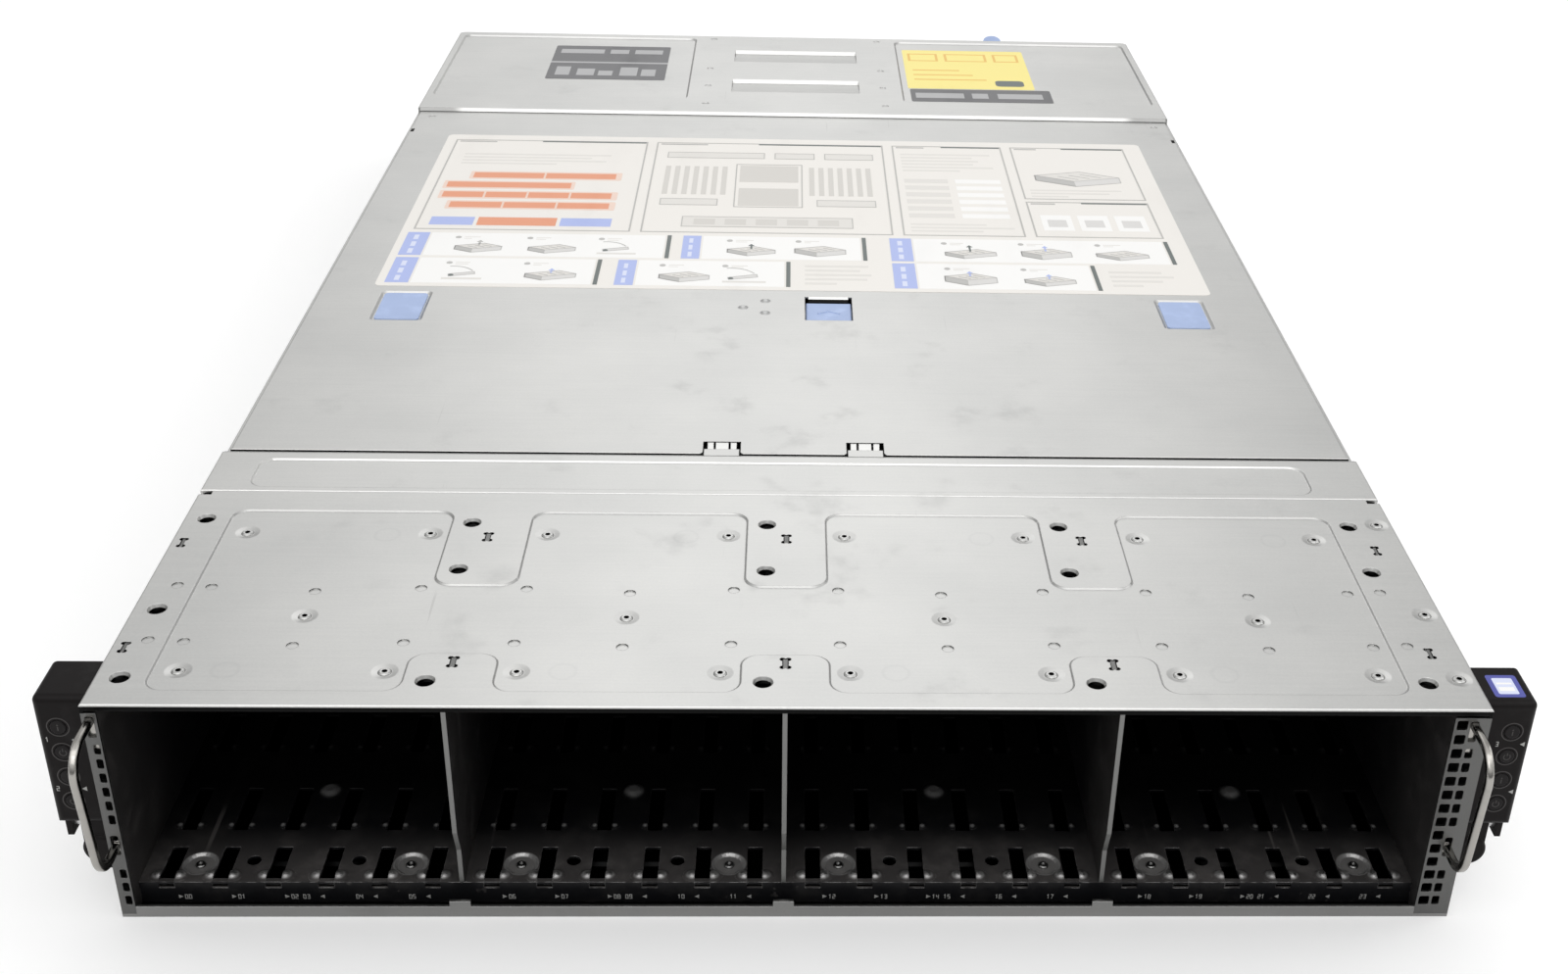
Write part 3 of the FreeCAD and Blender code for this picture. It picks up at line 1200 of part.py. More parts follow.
def panel_holes(side, base):
    """The vents, card slot and ports of a sled's rear panel."""
    x0, x1 = sled_sides(side)
    middle = (x0 + x1) / 2
    boxes = []
    columns = int((SLED_WIDTH / 2 - VENT_INSET - VENT_LEVER_LAND) // VENT_PITCH)
    rows = int((SLED_HEIGHT - VENT_LOW - VENT_TOP_LAND) // VENT_PITCH)
    for column in range(columns):
        for row in range(rows):
            boxes.append((x0 + VENT_INSET + column * VENT_PITCH, VENT_HOLE,
                          base + VENT_LOW + row * VENT_PITCH, VENT_HOLE))
    boxes.append((middle + CARD_INSIDE, SLED_WIDTH / 2 - CARD_INSIDE - CARD_OUTSIDE,
                  base + SLED_HEIGHT - CARD_BELOW_TOP, CARD_HEIGHT))
    boxes += [(x0 + x, width, base + PORT_LOW, height) for x, width, height in PORTS]
    return [block(x, x + width, REAR - INNER_SHEET - THROUGH, REAR + THROUGH, z, z + height)
            for x, width, z, height in boxes]


def sled_tray(side, base):
    """A sled's folded tray with its board posts, rear panel and lever bracket."""
    x0, x1 = sled_sides(side)
    middle = (x0 + x1) / 2
    wall_top = base + SLED_WALL
    parts = [
        block(x0, x1, SLED_FRONT, REAR, base, base + INNER_SHEET),
        block(x0, x0 + INNER_SHEET, SLED_FRONT, REAR, base, wall_top),
        block(x1 - INNER_SHEET, x1, SLED_FRONT, REAR, base, wall_top),
        block(x0, x1, REAR - INNER_SHEET, REAR, base, base + SLED_HEIGHT),
    ]
    for x in (x0 + POST_INSET, middle, x1 - POST_INSET):
        for y in (SLED_FRONT + POST_INSET, (SLED_FRONT + REAR) / 2, REAR - POST_INSET):
            parts.append(rod(POST_RADIUS, (x, y, base), (x, y, base + POST_HEIGHT)))
    return without(union(parts + lever_bracket(middle, base)), panel_holes(side, base))


def sled_board(side, base):
    """The node board on its posts, with memory modules, port shells and an add-in card."""
    x0, x1 = sled_sides(side)
    middle = (x0 + x1) / 2
    top = base + POST_HEIGHT + BOARD
    parts = [block(x0 + BOARD_SIDE, x1 - BOARD_SIDE, SLED_FRONT + BOARD_FRONT, REAR - BOARD_REAR,
                   base + POST_HEIGHT, top)]
    first = COOLER_WIDTH / 2 + MEMORY_BESIDE_COOLER
    room = SLED_WIDTH / 2 - BOARD_SIDE - MEMORY_THICK - first
    modules = min(MEMORY_MOST, int(room // MEMORY_PITCH) + 1)
    for s in (-1, 1):
        for i in range(modules):
            x = middle + s * (first + i * MEMORY_PITCH)
            for y in COOLER_FRONTS:
                parts.append(block(x - MEMORY_THICK / 2, x + MEMORY_THICK / 2, y - MEMORY_LEAD,
                                   y - MEMORY_LEAD + MEMORY_LENGTH, top,
                                   base + SLED_HEIGHT - MEMORY_BELOW_TOP))
    for x, width, height in PORTS:
        parts.append(block(x0 + x + INNER_SHEET, x0 + x + width - INNER_SHEET, REAR - PORT_LENGTH,
                           REAR - INNER_SHEET / 2, top, base + PORT_LOW + height - INNER_SHEET))
    card_left = middle + CARD_INSIDE + SHEET
    card_right = x1 - CARD_OUTSIDE - SHEET
    card_low = base + SLED_HEIGHT - CARD_BELOW_TOP + SHEET
    parts.append(block(card_left, card_right, CARD_FRONT, REAR - INNER_SHEET, card_low, card_low + BOARD))
    parts.append(block(card_left, card_right, CARD_FRONT, CARD_FRONT + CARD_RISER, top, card_low))
    return union(parts)


def sled_coolers(side, base):
    """Two finned processor coolers that stand on the node board."""
    middle = side * SLED_CENTRE
    low = base + POST_HEIGHT + BOARD
    left = middle - COOLER_WIDTH / 2
    fins = int((COOLER_WIDTH - COOLER_FIN) // COOLER_FIN_PITCH) + 1
    coolers = []
    for y in COOLER_FRONTS:
        parts = [block(left, left + COOLER_WIDTH, y, y + COOLER_LENGTH, low, low + COOLER_BASE)]
        for i in range(fins):
            x = left + i * COOLER_FIN_PITCH
            parts.append(block(x, x + COOLER_FIN, y, y + COOLER_LENGTH, low,
                               base + SLED_HEIGHT - COOLER_BELOW_TOP))
        coolers.append(union(parts))
    return coolers


def sled_lever(side, base, angle):
    """A sled's pull tab: a round-ended lever on the bracket's pin, set at its angle of rest."""
    x = side * SLED_CENTRE
    y, z = lever_pivot(base)
    half = LEVER_WIDTH / 2
    low = z - LEVER_THICK / 2
    high = z + LEVER_THICK / 2
    end = y + LEVER_LENGTH - half
    lever = union([
        block(x - half, x + half, y, end, low, high),
        rod(half, (x, end, low), (x, end, high)),
        rod(LEVER_THICK / 2, (x - half, y, z), (x + half, y, z)),
    ])
    lever = lever.cut(rod(LEVER_PIN + PIN_GAP, (x - LEVER_WIDTH, y, z), (x + LEVER_WIDTH, y, z)))
    lever.rotate(Vector(x, y, z), Vector(1, 0, 0), angle)
    return lever


# Power supplies

def supply_holes(base):
    """The sealed room of a supply's case, its mains inlet and the grille of its fan."""
    top = base + SLED_HEIGHT
    inner = SUPPLY_HALF - SUPPLY_CASE
    low = base + INLET_LOW
    cuts = [
        block(-inner, inner, REAR - SUPPLY_LENGTH + SUPPLY_CASE, REAR - SUPPLY_REAR_BLOCK,
              base + SUPPLY_CASE, top - SUPPLY_CASE),
        block(INLET_LEFT, INLET_LEFT + INLET_WIDTH, REAR - INLET_DEPTH, REAR + THROUGH,
              low, low + INLET_HEIGHT),
    ]
    columns = int((TRIP_X - GRILLE_LATCH_LAND - GRILLE_LEFT) // GRILLE_PITCH)
    rows = int((SLED_HEIGHT - GRIP_BELOW_TOP - GRILLE_LOW) // GRILLE_PITCH)
    for column in range(columns):
        for row in range(rows):
            x = GRILLE_LEFT + column * GRILLE_PITCH
            z = base + GRILLE_LOW + row * GRILLE_PITCH
            cuts.append(block(x, x + GRILLE_HOLE, REAR - GRILLE_DEPTH, REAR + THROUGH, z, z + GRILLE_HOLE))
    return cuts


def supply(base):
    """A power supply: a sealed case with an inlet, a grille, a grip and the pin of its latch."""
    case = block(-SUPPLY_HALF, SUPPLY_HALF, REAR - SUPPLY_LENGTH, REAR, base, base + SLED_HEIGHT)
    parts = [without(case, supply_holes(base))]
    for x, z in INLET_BLADES:
        parts.append(block(x - INLET_BLADE / 2, x + INLET_BLADE / 2, REAR - INLET_DEPTH - THROUGH,
                           REAR - INLET_BLADE_SHY, base + z, base + z + INLET_BLADE_HEIGHT))
    low = base + SLED_HEIGHT - GRIP_BELOW_TOP
    high = low + GRIP_BAR
    end = REAR + GRIP_REACH
    for x in (GRIP_LEFT, GRIP_RIGHT - GRIP_BAR):
        parts.append(block(x, x + GRIP_BAR, REAR - THROUGH, end, low, high))
    parts.append(block(GRIP_LEFT, GRIP_RIGHT, end - GRIP_BAR, end, low, high))
    lug_low = base + TRIP_LOW
    lug_high = lug_low + TRIP_SPAN
    for z in (lug_low, lug_high - TRIP_LUG):
        parts.append(block(TRIP_X - TRIP_LUG_HALF, TRIP_X + TRIP_LUG_HALF, REAR - THROUGH,
                           TRIP_Y + TRIP_LUG_HALF, z, z + TRIP_LUG))
    parts.append(rod(LEVER_PIN, (TRIP_X, TRIP_Y, lug_low), (TRIP_X, TRIP_Y, lug_high)))
    return union(parts)


def supply_latch(base):
    """The release tab of a supply, on the upright pin beside its grip."""
    low = base + TRIP_LOW + TRIP_LUG + SEAT_GAP
    high = base + TRIP_LOW + TRIP_SPAN - TRIP_LUG - SEAT_GAP
    end = TRIP_Y + TRIP_LENGTH
    latch = union([
        rod(TRIP_BOSS, (TRIP_X, TRIP_Y, low), (TRIP_X, TRIP_Y, high)),
        block(TRIP_X - TRIP_TAB / 2, TRIP_X + TRIP_TAB / 2, TRIP_Y, end, low, high),
        block(TRIP_X - TRIP_THUMB / 2, TRIP_X + TRIP_THUMB / 2, end - TRIP_THUMB_DEPTH, end, low, high),
    ])
    bore = rod(LEVER_PIN + PIN_GAP, (TRIP_X, TRIP_Y, low - THROUGH), (TRIP_X, TRIP_Y, high + THROUGH))
    return latch.cut(bore)


def side_nodes(name, side):
    """What stands on one side of the chassis, named for that side."""
    nodes = {
        f"{name}_side_wall": side_wall(side),
        f"{name}_cage_wall": cage_wall(side),
        f"{name}_front_strip": front_strip(side),
        f"{name}_pull_handle": pull_handle(side),
        f"{name}_ear_housing": ear_housing(side),
        f"{name}_rack_latch": rack_latch(side),
    }
    for button, (x, z) in zip(BUTTON_NAMES, button_places(side)):
        nodes[f"{name}_{button}_button"] = ear_button(x, z)
    for level, base in LEVELS.items():
        sled = f"{level}_{name}_sled"
        raised = sled == "upper_right_sled"
        nodes[f"{sled}_tray"] = sled_tray(side, base)
        nodes[f"{sled}_board"] = sled_board(side, base)
        nodes[f"{sled}_coolers"] = sled_coolers(side, base)
        nodes[f"{sled}_lever"] = sled_lever(side, base, LEVER_RAISED if raised else LEVER_FOLDED)
    return nodes


def build():
    nodes = {
        "floor_pan": floor_pan(),
        "front_deck": front_deck(),
        "deck_rivets": deck_rivets(),
        "mid_strip": mid_strip(),
        "sliding_cover": sliding_cover(),
        "cover_latch": cover_latch(),
        "grip_pads": grip_pads(),
        "rear_top_panel": rear_top_panel(),
        "cage_floor": cage_floor(),
        "bay_dividers": [bay_divider(x) for x in DIVIDER_CENTRES],
        "drive_backplane": drive_backplane(),
        "ear_boards": ear_boards(),
        "rack_latch_pins": rack_latch_pins(),
        "fan_frames": [fan_frame(x) for x in FAN_CENTRES],
        "midplane": midplane(),
        "sled_bay_frame": sled_bay_frame(),
    }
    for i, x in enumerate(FAN_CENTRES):
        nodes[f"fan_rotor_{i + 1}"] = fan_rotor(x)
    for name, side in SIDES.items():
        nodes.update(side_nodes(name, side))
    for level, base in LEVELS.items():
        nodes[f"{level}_power_supply"] = supply(base)
        nodes[f"{level}_power_supply_latch"] = supply_latch(base)
    return nodes


def main():
    os.makedirs("parts", exist_ok=True)
    nodes = build()
    for name, shape in nodes.items():
        pieces = shape if isinstance(shape, list) else [shape]
        solids = [solid for piece in pieces for solid in piece.Solids]
        Part.makeCompound(solids).exportStep(f"parts/{name}.step")
    print(len(nodes), "nodes")


main()
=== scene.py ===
import math
import random

import bmesh
import bpy
from mathutils import Matrix, Vector


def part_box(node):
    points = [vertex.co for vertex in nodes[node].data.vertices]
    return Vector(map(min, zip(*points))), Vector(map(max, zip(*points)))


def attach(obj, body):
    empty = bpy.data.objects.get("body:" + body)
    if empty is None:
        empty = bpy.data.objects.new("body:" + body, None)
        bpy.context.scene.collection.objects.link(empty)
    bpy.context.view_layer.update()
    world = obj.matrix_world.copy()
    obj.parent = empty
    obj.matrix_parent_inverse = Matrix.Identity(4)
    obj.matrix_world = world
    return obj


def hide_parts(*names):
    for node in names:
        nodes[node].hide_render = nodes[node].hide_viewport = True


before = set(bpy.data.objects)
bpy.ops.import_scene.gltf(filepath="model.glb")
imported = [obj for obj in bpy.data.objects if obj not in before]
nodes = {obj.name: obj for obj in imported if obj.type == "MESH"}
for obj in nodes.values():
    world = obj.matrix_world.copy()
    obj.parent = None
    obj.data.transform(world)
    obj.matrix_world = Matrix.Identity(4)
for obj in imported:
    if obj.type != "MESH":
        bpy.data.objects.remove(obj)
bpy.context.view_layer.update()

mm = 0.001
scene = bpy.context.scene
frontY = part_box("front_deck")[0].y  # the front edge, from which stations are counted


def station(distance):  # a place along the chassis, in mm behind the front edge
    return frontY + distance * mm


def operator(operation, swapped=False):
    def apply(self, other):
        return self.maths(operation, other, self) if swapped else self.maths(operation, self, other)
    return apply


# A shader socket that can be added, multiplied and compared like a number
class Wire:
    def __init__(self, finish, socket):
        self.finish = finish
        self.socket = socket

    def maths(self, operation, *values):
        return self.finish.node("ShaderNodeMath", {"operation": operation}, dict(enumerate(values)))

    __add__ = __radd__ = operator("ADD")
    __sub__ = operator("SUBTRACT")
    __rsub__ = operator("SUBTRACT", True)
    __mul__ = __rmul__ = operator("MULTIPLY")
    __pow__ = operator("POWER")
    __gt__ = operator("GREATER_THAN")
    __lt__ = operator("LESS_THAN")
    most = operator("MAXIMUM")

    def size(self):
        return self.maths("ABSOLUTE", self)

    def wrap(self, half):  # repeated from minus half to half, in mm
        return self.maths("WRAP", self, half * mm, -half * mm)

    def within(self, low, high):
        return (self > low) * (self < high)

    def ramp(self, low, high, start=0.0, end=1.0):  # eased from start at low to end at high
        settings = {"interpolation_type": "SMOOTHSTEP"}
        return self.finish.node("ShaderNodeMapRange", settings, {0: self, 1: low, 2: high, 3: start, 4: end})


class Finish:
    def __init__(self, owner, coordinates="Object"):
        owner.use_nodes = True
        self.owner = owner
        self.tree = owner.node_tree
        self.shader = next(n for n in self.tree.nodes if n.type in ("BSDF_PRINCIPLED", "BACKGROUND"))
        self.place = self.node("ShaderNodeTexCoord", {}, {}, coordinates)

    def node(self, kind, settings, inputs, output=0):
        made = self.tree.nodes.new(kind)
        for key, value in settings.items():
            if key == "stops":
                self.setStops(made.color_ramp, value)
            else:
                setattr(made, key, value)
        for key, value in inputs.items():
            self.feed(made.inputs[key], value)
        return Wire(self, made.outputs[output])

    def setStops(self, ramp, stops):
        while len(ramp.elements) < len(stops):
            ramp.elements.new(1.0)
        for element, (position, level) in zip(ramp.elements, stops):
            element.position = position
            element.color = (level, level, level, 1.0)

    def feed(self, socket, value):
        if isinstance(value, Wire):
            self.tree.links.new(value.socket, socket)
        elif socket.type == "RGBA":
            socket.default_value = (*value, 1.0)
        else:
            socket.default_value = value

    def set(self, values):
        for key, value in values.items():
            self.feed(self.shader.inputs[key], value)

    def noise(self, size, stretch=(1, 1, 1), detail=3.0, roughness=0.55):  # size in mm
        factors = [s / (size * mm) for s in stretch]
        scaled = self.node("ShaderNodeVectorMath", {"operation": "MULTIPLY"}, {0: self.place, 1: factors})
        values = {"Vector": scaled, "Scale": 1.0, "Detail": detail, "Roughness": roughness}
        return self.node("ShaderNodeTexNoise", {}, values)

    def cells(self, size):
        values = {"Vector": self.place, "Scale": 1 / (size * mm)}
        return self.node("ShaderNodeTexVoronoi", {"feature": "F1"}, values)

    def blend(self, amount, first, second):
        return self.node("ShaderNodeMix", {"data_type": "RGBA"}, {0: amount, 6: first, 7: second}, 2)

    def along(self, axis):  # the place along one axis of the part, in metres
        return self.node("ShaderNodeSeparateXYZ", {}, {0: self.place}, axis)

    def between(self, start, end):  # inside two stations
        return self.along("Y").within(station(start), station(end))

    def eased(self, start, end, first, last):  # from first to last between two stations
        return self.along("Y").ramp(station(start), station(end), first, last)

    def reach(self, x, y, pitch=0, beside=0):
        # distance from a point, from points a pitch apart, or from pairs of such points
        u = self.along("X") - x * mm
        if pitch:
            u = u.wrap(pitch / 2)
        if beside:
            u = u.size() - beside * mm
        v = self.along("Y") - station(y)
        return (u * u + v * v) ** 0.5

    def facing(self, axis):  # how far the surface faces along an axis of the part
        normal = self.node("ShaderNodeTexCoord", {}, {}, "Normal")
        return self.node("ShaderNodeSeparateXYZ", {}, {0: normal}, axis)

    def dot(self, first, second):
        return self.node("ShaderNodeVectorMath", {"operation": "DOT_PRODUCT"}, {0: first, 1: second}, "Value")

    def edges(self, radius):  # how worn an edge is, and the softened normal there; radius in mm
        soft = self.node("ShaderNodeBevel", {"samples": 4}, {"Radius": radius * mm})
        flat = self.node("ShaderNodeNewGeometry", {}, {}, "Normal")
        return (1 - self.dot(soft, flat)).ramp(0.01, 0.12), soft

    def bump(self, height, strength, depth, normal=None):  # depth in mm
        values = {"Strength": strength, "Distance": depth * mm, "Height": height}
        if normal:
            values["Normal"] = normal
        return self.node("ShaderNodeBump", {}, values)


def newFinish(name):
    return Finish(bpy.data.materials.new(name))


def times(colour, factor):
    return [c * factor for c in colour]


def addObject(name, data):
    made = bpy.data.objects.new(name, data)
    scene.collection.objects.link(made)
    return made


def meshObject(name, mesh, materials):
    data = bpy.data.meshes.new(name)
    mesh.to_mesh(data)
    for material in materials:
        data.materials.append(material)
    return addObject(name, data)


sheetLook = {
    "light": (0.66, 0.657, 0.64), "dark": (0.50, 0.503, 0.495), "shadowed": (0.008, 0.008, 0.008),
    "scuffed": (0.40, 0.40, 0.39), "rubbed": (0.72, 0.72, 0.71),
    "roughness": 0.33, "speckle": 0.42, "scuffs": 0.4,
}


def sheetSteel(name, roll=0, tint=1.0, shine=0.0, shadow=None, extra=None, dull=None):
    # galvanised sheet: rolling lines, zinc grain, handling smudges, short scuffs and rubbed edges
    f = newFinish(name)
    along = [(0.03, 1, 1), (1, 0.03, 1), (1, 1, 0.03)][roll]
    across = [(1, 0.02, 1), (0.02, 1, 1), (0.02, 1, 1)][roll]
    lines = f.noise(1.2, along, 4.0)
    grain = f.noise(0.9, detail=2.0)
    cloud = f.noise(70, detail=4.0)
    smudge = f.noise(26, detail=5.0, roughness=0.65).ramp(0.56, 0.76)
    scuff = f.noise(1.5, across, 2.0).ramp(0.70, 0.76) * f.noise(45).ramp(0.52, 0.68)
    wear, soft = f.edges(0.45)
    mixed = (grain - 0.5) * sheetLook["speckle"] + (lines - 0.5) * 0.45 + (cloud - 0.5) * 0.9 + 0.5
    mixed = mixed - smudge * 0.15
    if extra:
        mixed = mixed - extra(f)
    keys = ("light", "dark", "scuffed", "rubbed")
    light, dark, scuffed, rubbed = (times(sheetLook[key], tint) for key in keys)
    colour = f.blend(mixed, dark, light)
    colour = f.blend(scuff * sheetLook["scuffs"], colour, scuffed)
    colour = f.blend(wear * 0.2, colour, rubbed)
    # painted shade: faces that turn towards the rear are darkened
    away = f.dot(soft, (0, 1, 0))
    colour = f.blend(away.ramp(0.03, 0.5) * 0.6, colour, times(dark, 0.45))
    if shadow:
        colour = f.blend(shadow(f), colour, sheetLook["shadowed"])
    rough = sheetLook["roughness"] - shine + lines * 0.07 + grain * 0.06 + smudge * 0.08
    if dull:
        rough = rough + dull(f)
    f.set({"Base Color": colour, "Roughness": rough, "Metallic": 1.0})
    f.set({"Normal": f.bump(lines * 0.5 + grain * 0.5 - scuff * 0.6, 0.2, 0.06, soft)})
    return f.owner


# painted shade: faces that look down are shown near black
def underside(f):
    return f.facing("Z") < -0.5


def noseShade(f):  # painted shade: it dims the highlight at the ends of the rear sheet's front slope and on the rear rim of its fields, and darkens faces that look down
    outer = f.along("X").size().ramp(0.196, 0.204)
    ends = outer * f.between(590, 640) * 0.5
    rim = (f.along("Y") > station(752)) * 0.1
    return underside(f) + (f.facing("Y") < -0.25) * (ends + rim)


def fieldSide(f):  # the outer wall of the left sunk field is dull
    return (f.facing("X") > 0.2) * (f.along("X") < -0.2) * 0.4


def coverShadow(f):  # painted shade on the cut front edge of the sliding cover, and painted shadow in the depth of the slide's pocket
    low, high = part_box("cover_latch")
    front = (f.facing("Y") < -0.75) * (f.along("Y") < station(188))
    pocket = f.along("X").within(low.x - 1 * mm, high.x + 1 * mm)
    pocket = pocket * f.along("Y").within(high.y - 1 * mm, high.y + 6 * mm)
    return front + pocket * (f.along("Z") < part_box("grip_pads")[1].z - 0.6 * mm)


dentRows = ((31.9, 38.9), (65.1, 72.5))  # stations of the deck's shallow dents


def slopes(f, start):  # pressed slopes that face the front, where painted shade dims their highlight
    return f.facing("Y").within(-0.93, -0.2) * (f.along("Y") > station(start))


def upright(f):
    return f.facing("Z").size() < 0.3


def deckShade(f):  # painted shade in the walls of holes, in the fold under the front edge, on faces that look down, and over the front-facing slopes
    behindFold = f.along("Y") > station(2.5)
    inner = behindFold * (f.along("X").size() < 0.2215)
    for start, end in dentRows:
        inner = inner * (1 - f.between(start, end) * 0.45)
    fold = (f.along("Z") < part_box("front_deck")[1].z - 0.75 * mm) * (1 - behindFold)
    return underside(f) + upright(f) * (inner + fold) + slopes(f, 4) * 0.3


def rivetShade(f):  # painted shade in the dimple of a blind rivet, and over its front-facing slopes
    return upright(f) + slopes(f, 4) * 0.3


def cageWellShadow(f):  # painted shadow on the pan under the drive cage
    return f.between(1.4, 131) * (f.facing("Z") > 0.2)


slideStamps = {"places": ((-24.5, 316.9), (-14.2, 324.7), (-14.2, 311.0)), "radius": 3.4, "depth": 0.5}


def stampMarks(f):  # the three pressed stamps beside the release slide are dull
    radius = slideStamps["radius"] * mm
    marks = [f.reach(x, y).ramp(radius * 0.4, radius, 1, 0) for x, y in slideStamps["places"]]
    return sum(marks) * slideStamps["depth"]


# bay centres, pitches, and the pressings of the drive cage's floor, as in the CAD part
cage = {
    "bays": (-165.875, -57.625, 50.625, 158.875), "bayPitch": 108.25, "drivePitch": 17.7,
    "seats": 35.4, "seatStation": 15.5, "dome": 1.6, "domeStation": 54.5,
}
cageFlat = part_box("cage_floor")[1].z - cage["dome"] * mm
drivePlaces = [bay + (i - 2.5) * cage["drivePitch"] for bay in cage["bays"] for i in range(6)]
weldMarks = {
    "places": ((-183.9, 20.0), (-148.4, 106.0)), "radius": 4.4, "inside": 1.2, "outside": 0.8, "depth": 0.16,
}


def weldRings(f):  # faint round marks where the cage is welded to the deck
    edges = [f.reach(x, y, cage["bayPitch"]) - weldMarks["radius"] * mm for x, y in weldMarks["places"]]
    inside, outside = -weldMarks["inside"] * mm, weldMarks["outside"] * mm
    return sum(edge.ramp(inside, 0) * edge.ramp(0, outside, 1, 0) for edge in edges) * weldMarks["depth"]


cageLook = {
    "coat": (0.005, 0.005, 0.0058), "dust": (0.019, 0.018, 0.017), "bare": (0.21, 0.21, 0.205),
    # handledAndLit is the coat rubbed by handling, and also painted light near the cage's open front
    "handledAndLit": (0.075, 0.07, 0.068), "rubbed": (0.44, 0.435, 0.43), "seat": (0.16, 0.155, 0.15),
    "roughness": 0.3,
}


def crowns(f):  # what is pressed up from the cage floor
    return f.along("Z").ramp(cageFlat + 0.2 * mm, cageFlat + 1.1 * mm)


def screwSeats(f):  # the sunk seats, and their walls
    reach = f.reach(cage["bays"][2], cage["seatStation"], cage["bayPitch"], cage["seats"])
    return reach.ramp(5.4 * mm, 6.2 * mm, 1, 0), reach.ramp(4.2 * mm, 5.0 * mm)


def cageBlack(name, bareFront=False, lift=1.0, floor=False, wall=False):
    # satin black coat, dusty on the flats and rubbed through on raised edges
    f = newFinish(name)
    peel = f.noise(1.1, detail=2.0)
    dust = f.noise(14, detail=5.0, roughness=0.7).ramp(0.45, 0.75)
    rub = f.noise(3.5, detail=4.0).ramp(0.42, 0.6)
    streak = f.noise(2.0, (1, 0.03, 1), 3.0).ramp(0.62, 0.72) * f.noise(30).ramp(0.5, 0.66)
    wear, soft = f.edges(0.4)
    worn = wear * rub * 0.4
    if bareFront:
        front = f.facing("Y") < -0.6
        worn = worn.most(front * 0.95)
    clean, dusty = (times(cageLook[key], lift) for key in ("coat", "dust"))
    coat = f.blend(dust * 0.4 + streak * 0.3, clean, dusty)
    bare = cageLook["bare"]
    if floor:
        # painted light: the floor's upward faces are lighter near the open front, mixed with dust
        near = f.eased(12, 38, 1.0, 0.0) * (f.facing("Z") > 0.3)
        coat = f.blend(near * (0.55 + dust * 0.45), coat, cageLook["handledAndLit"])
        # painted shade: the rubbed lifts and the worn edges fade away deeper in the cage
        frontLightFade = f.eased(10, 66, 1.0, 0.06)
        worn = worn * f.eased(18, 46, 1.0, 0.1)
        worn = worn.most(crowns(f) * (0.75 + rub * 0.25) * frontLightFade)
        seat, rim = screwSeats(f)
        coat = f.blend(seat * 0.5, coat, cageLook["seat"])
        worn = worn.most(seat * (0.12 + rim * 0.5))
        scrape = f.noise(5, (1, 0.02, 1), 2.0).ramp(0.66, 0.72) * f.noise(55).ramp(0.5, 0.62)
        coat = f.blend(scrape * 0.8, coat, cageLook["handledAndLit"])
        # painted shade: the floor turns near black further into the cage
        coat = f.blend(f.eased(24, 62, 0.0, 0.85), coat, (0.001, 0.001, 0.001))
        bare = cageLook["rubbed"]
    if wall:
        # painted light: the walls are lighter towards the open front
        near = f.eased(0, 75, 1.0, 0.0)
        coat = f.blend(near * (0.5 + dust * 0.5), coat, times(cageLook["handledAndLit"], 0.5))
        tabs = f.along("Z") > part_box("front_deck")[1].z - 1 * mm
        worn = worn.most(tabs * 0.9)
    shine = 0.22 if floor else 0.32
    f.set({"Base Color": f.blend(worn, coat, bare), "Metallic": worn, "Specular IOR Level": shine})
    f.set({"Roughness": cageLook["roughness"] + dust * 0.18 + peel * 0.06 - streak * 0.06})
    f.set({"Normal": f.bump(peel, 0.2, 0.08, soft)})
    return f.owner


def mouldedPlastic(name, colour, roughness=0.42, grainSize=0.45, grain=0.22, fade=0.14, shine=0.5):
    # fine moulded texture, a little paler and smoother where hands rub the edges
    f = newFinish(name)
    texture = f.cells(grainSize)
    shade = f.noise(18, detail=4.0)
    touch = f.noise(9, detail=4.0).ramp(0.5, 0.72)
    wear, soft = f.edges(0.5)
    worn = [min(1.0, c * (1 + 2 * fade) + fade * 0.06) for c in colour]
    base = f.blend(shade, times(colour, 0.84), colour)
    f.set({"Base Color": f.blend(wear * 0.6 + touch * 0.15, base, worn), "Specular IOR Level": shine})
    f.set({"Roughness": roughness + texture * 0.08 - touch * 0.1 - wear * 0.08})
    f.set({"Normal": f.bump(texture, grain, 0.05, soft)})
    return f.owner


def brightPlate(name, colour=(0.37, 0.357, 0.335), roughness=0.12):
    # plated bar: fine polishing lines and a few dull handling marks
    f = newFinish(name)
    lines = f.noise(0.5, (1, 1, 0.04), 3.0)
    marks = f.noise(8, detail=5.0).ramp(0.52, 0.72)
    soft = f.edges(0.7)[1]
    f.set({"Base Color": f.blend(marks * 0.4, colour, times(colour, 0.8)), "Metallic": 1.0})
    f.set({"Roughness": roughness + lines * 0.08 + marks * 0.12, "Normal": f.bump(lines, 0.06, 0.03, soft)})
    return f.owner


boardTops = (8.4, 43.0, 50.0)  # heights in mm: what stands on the lower boards, and on the upper ones


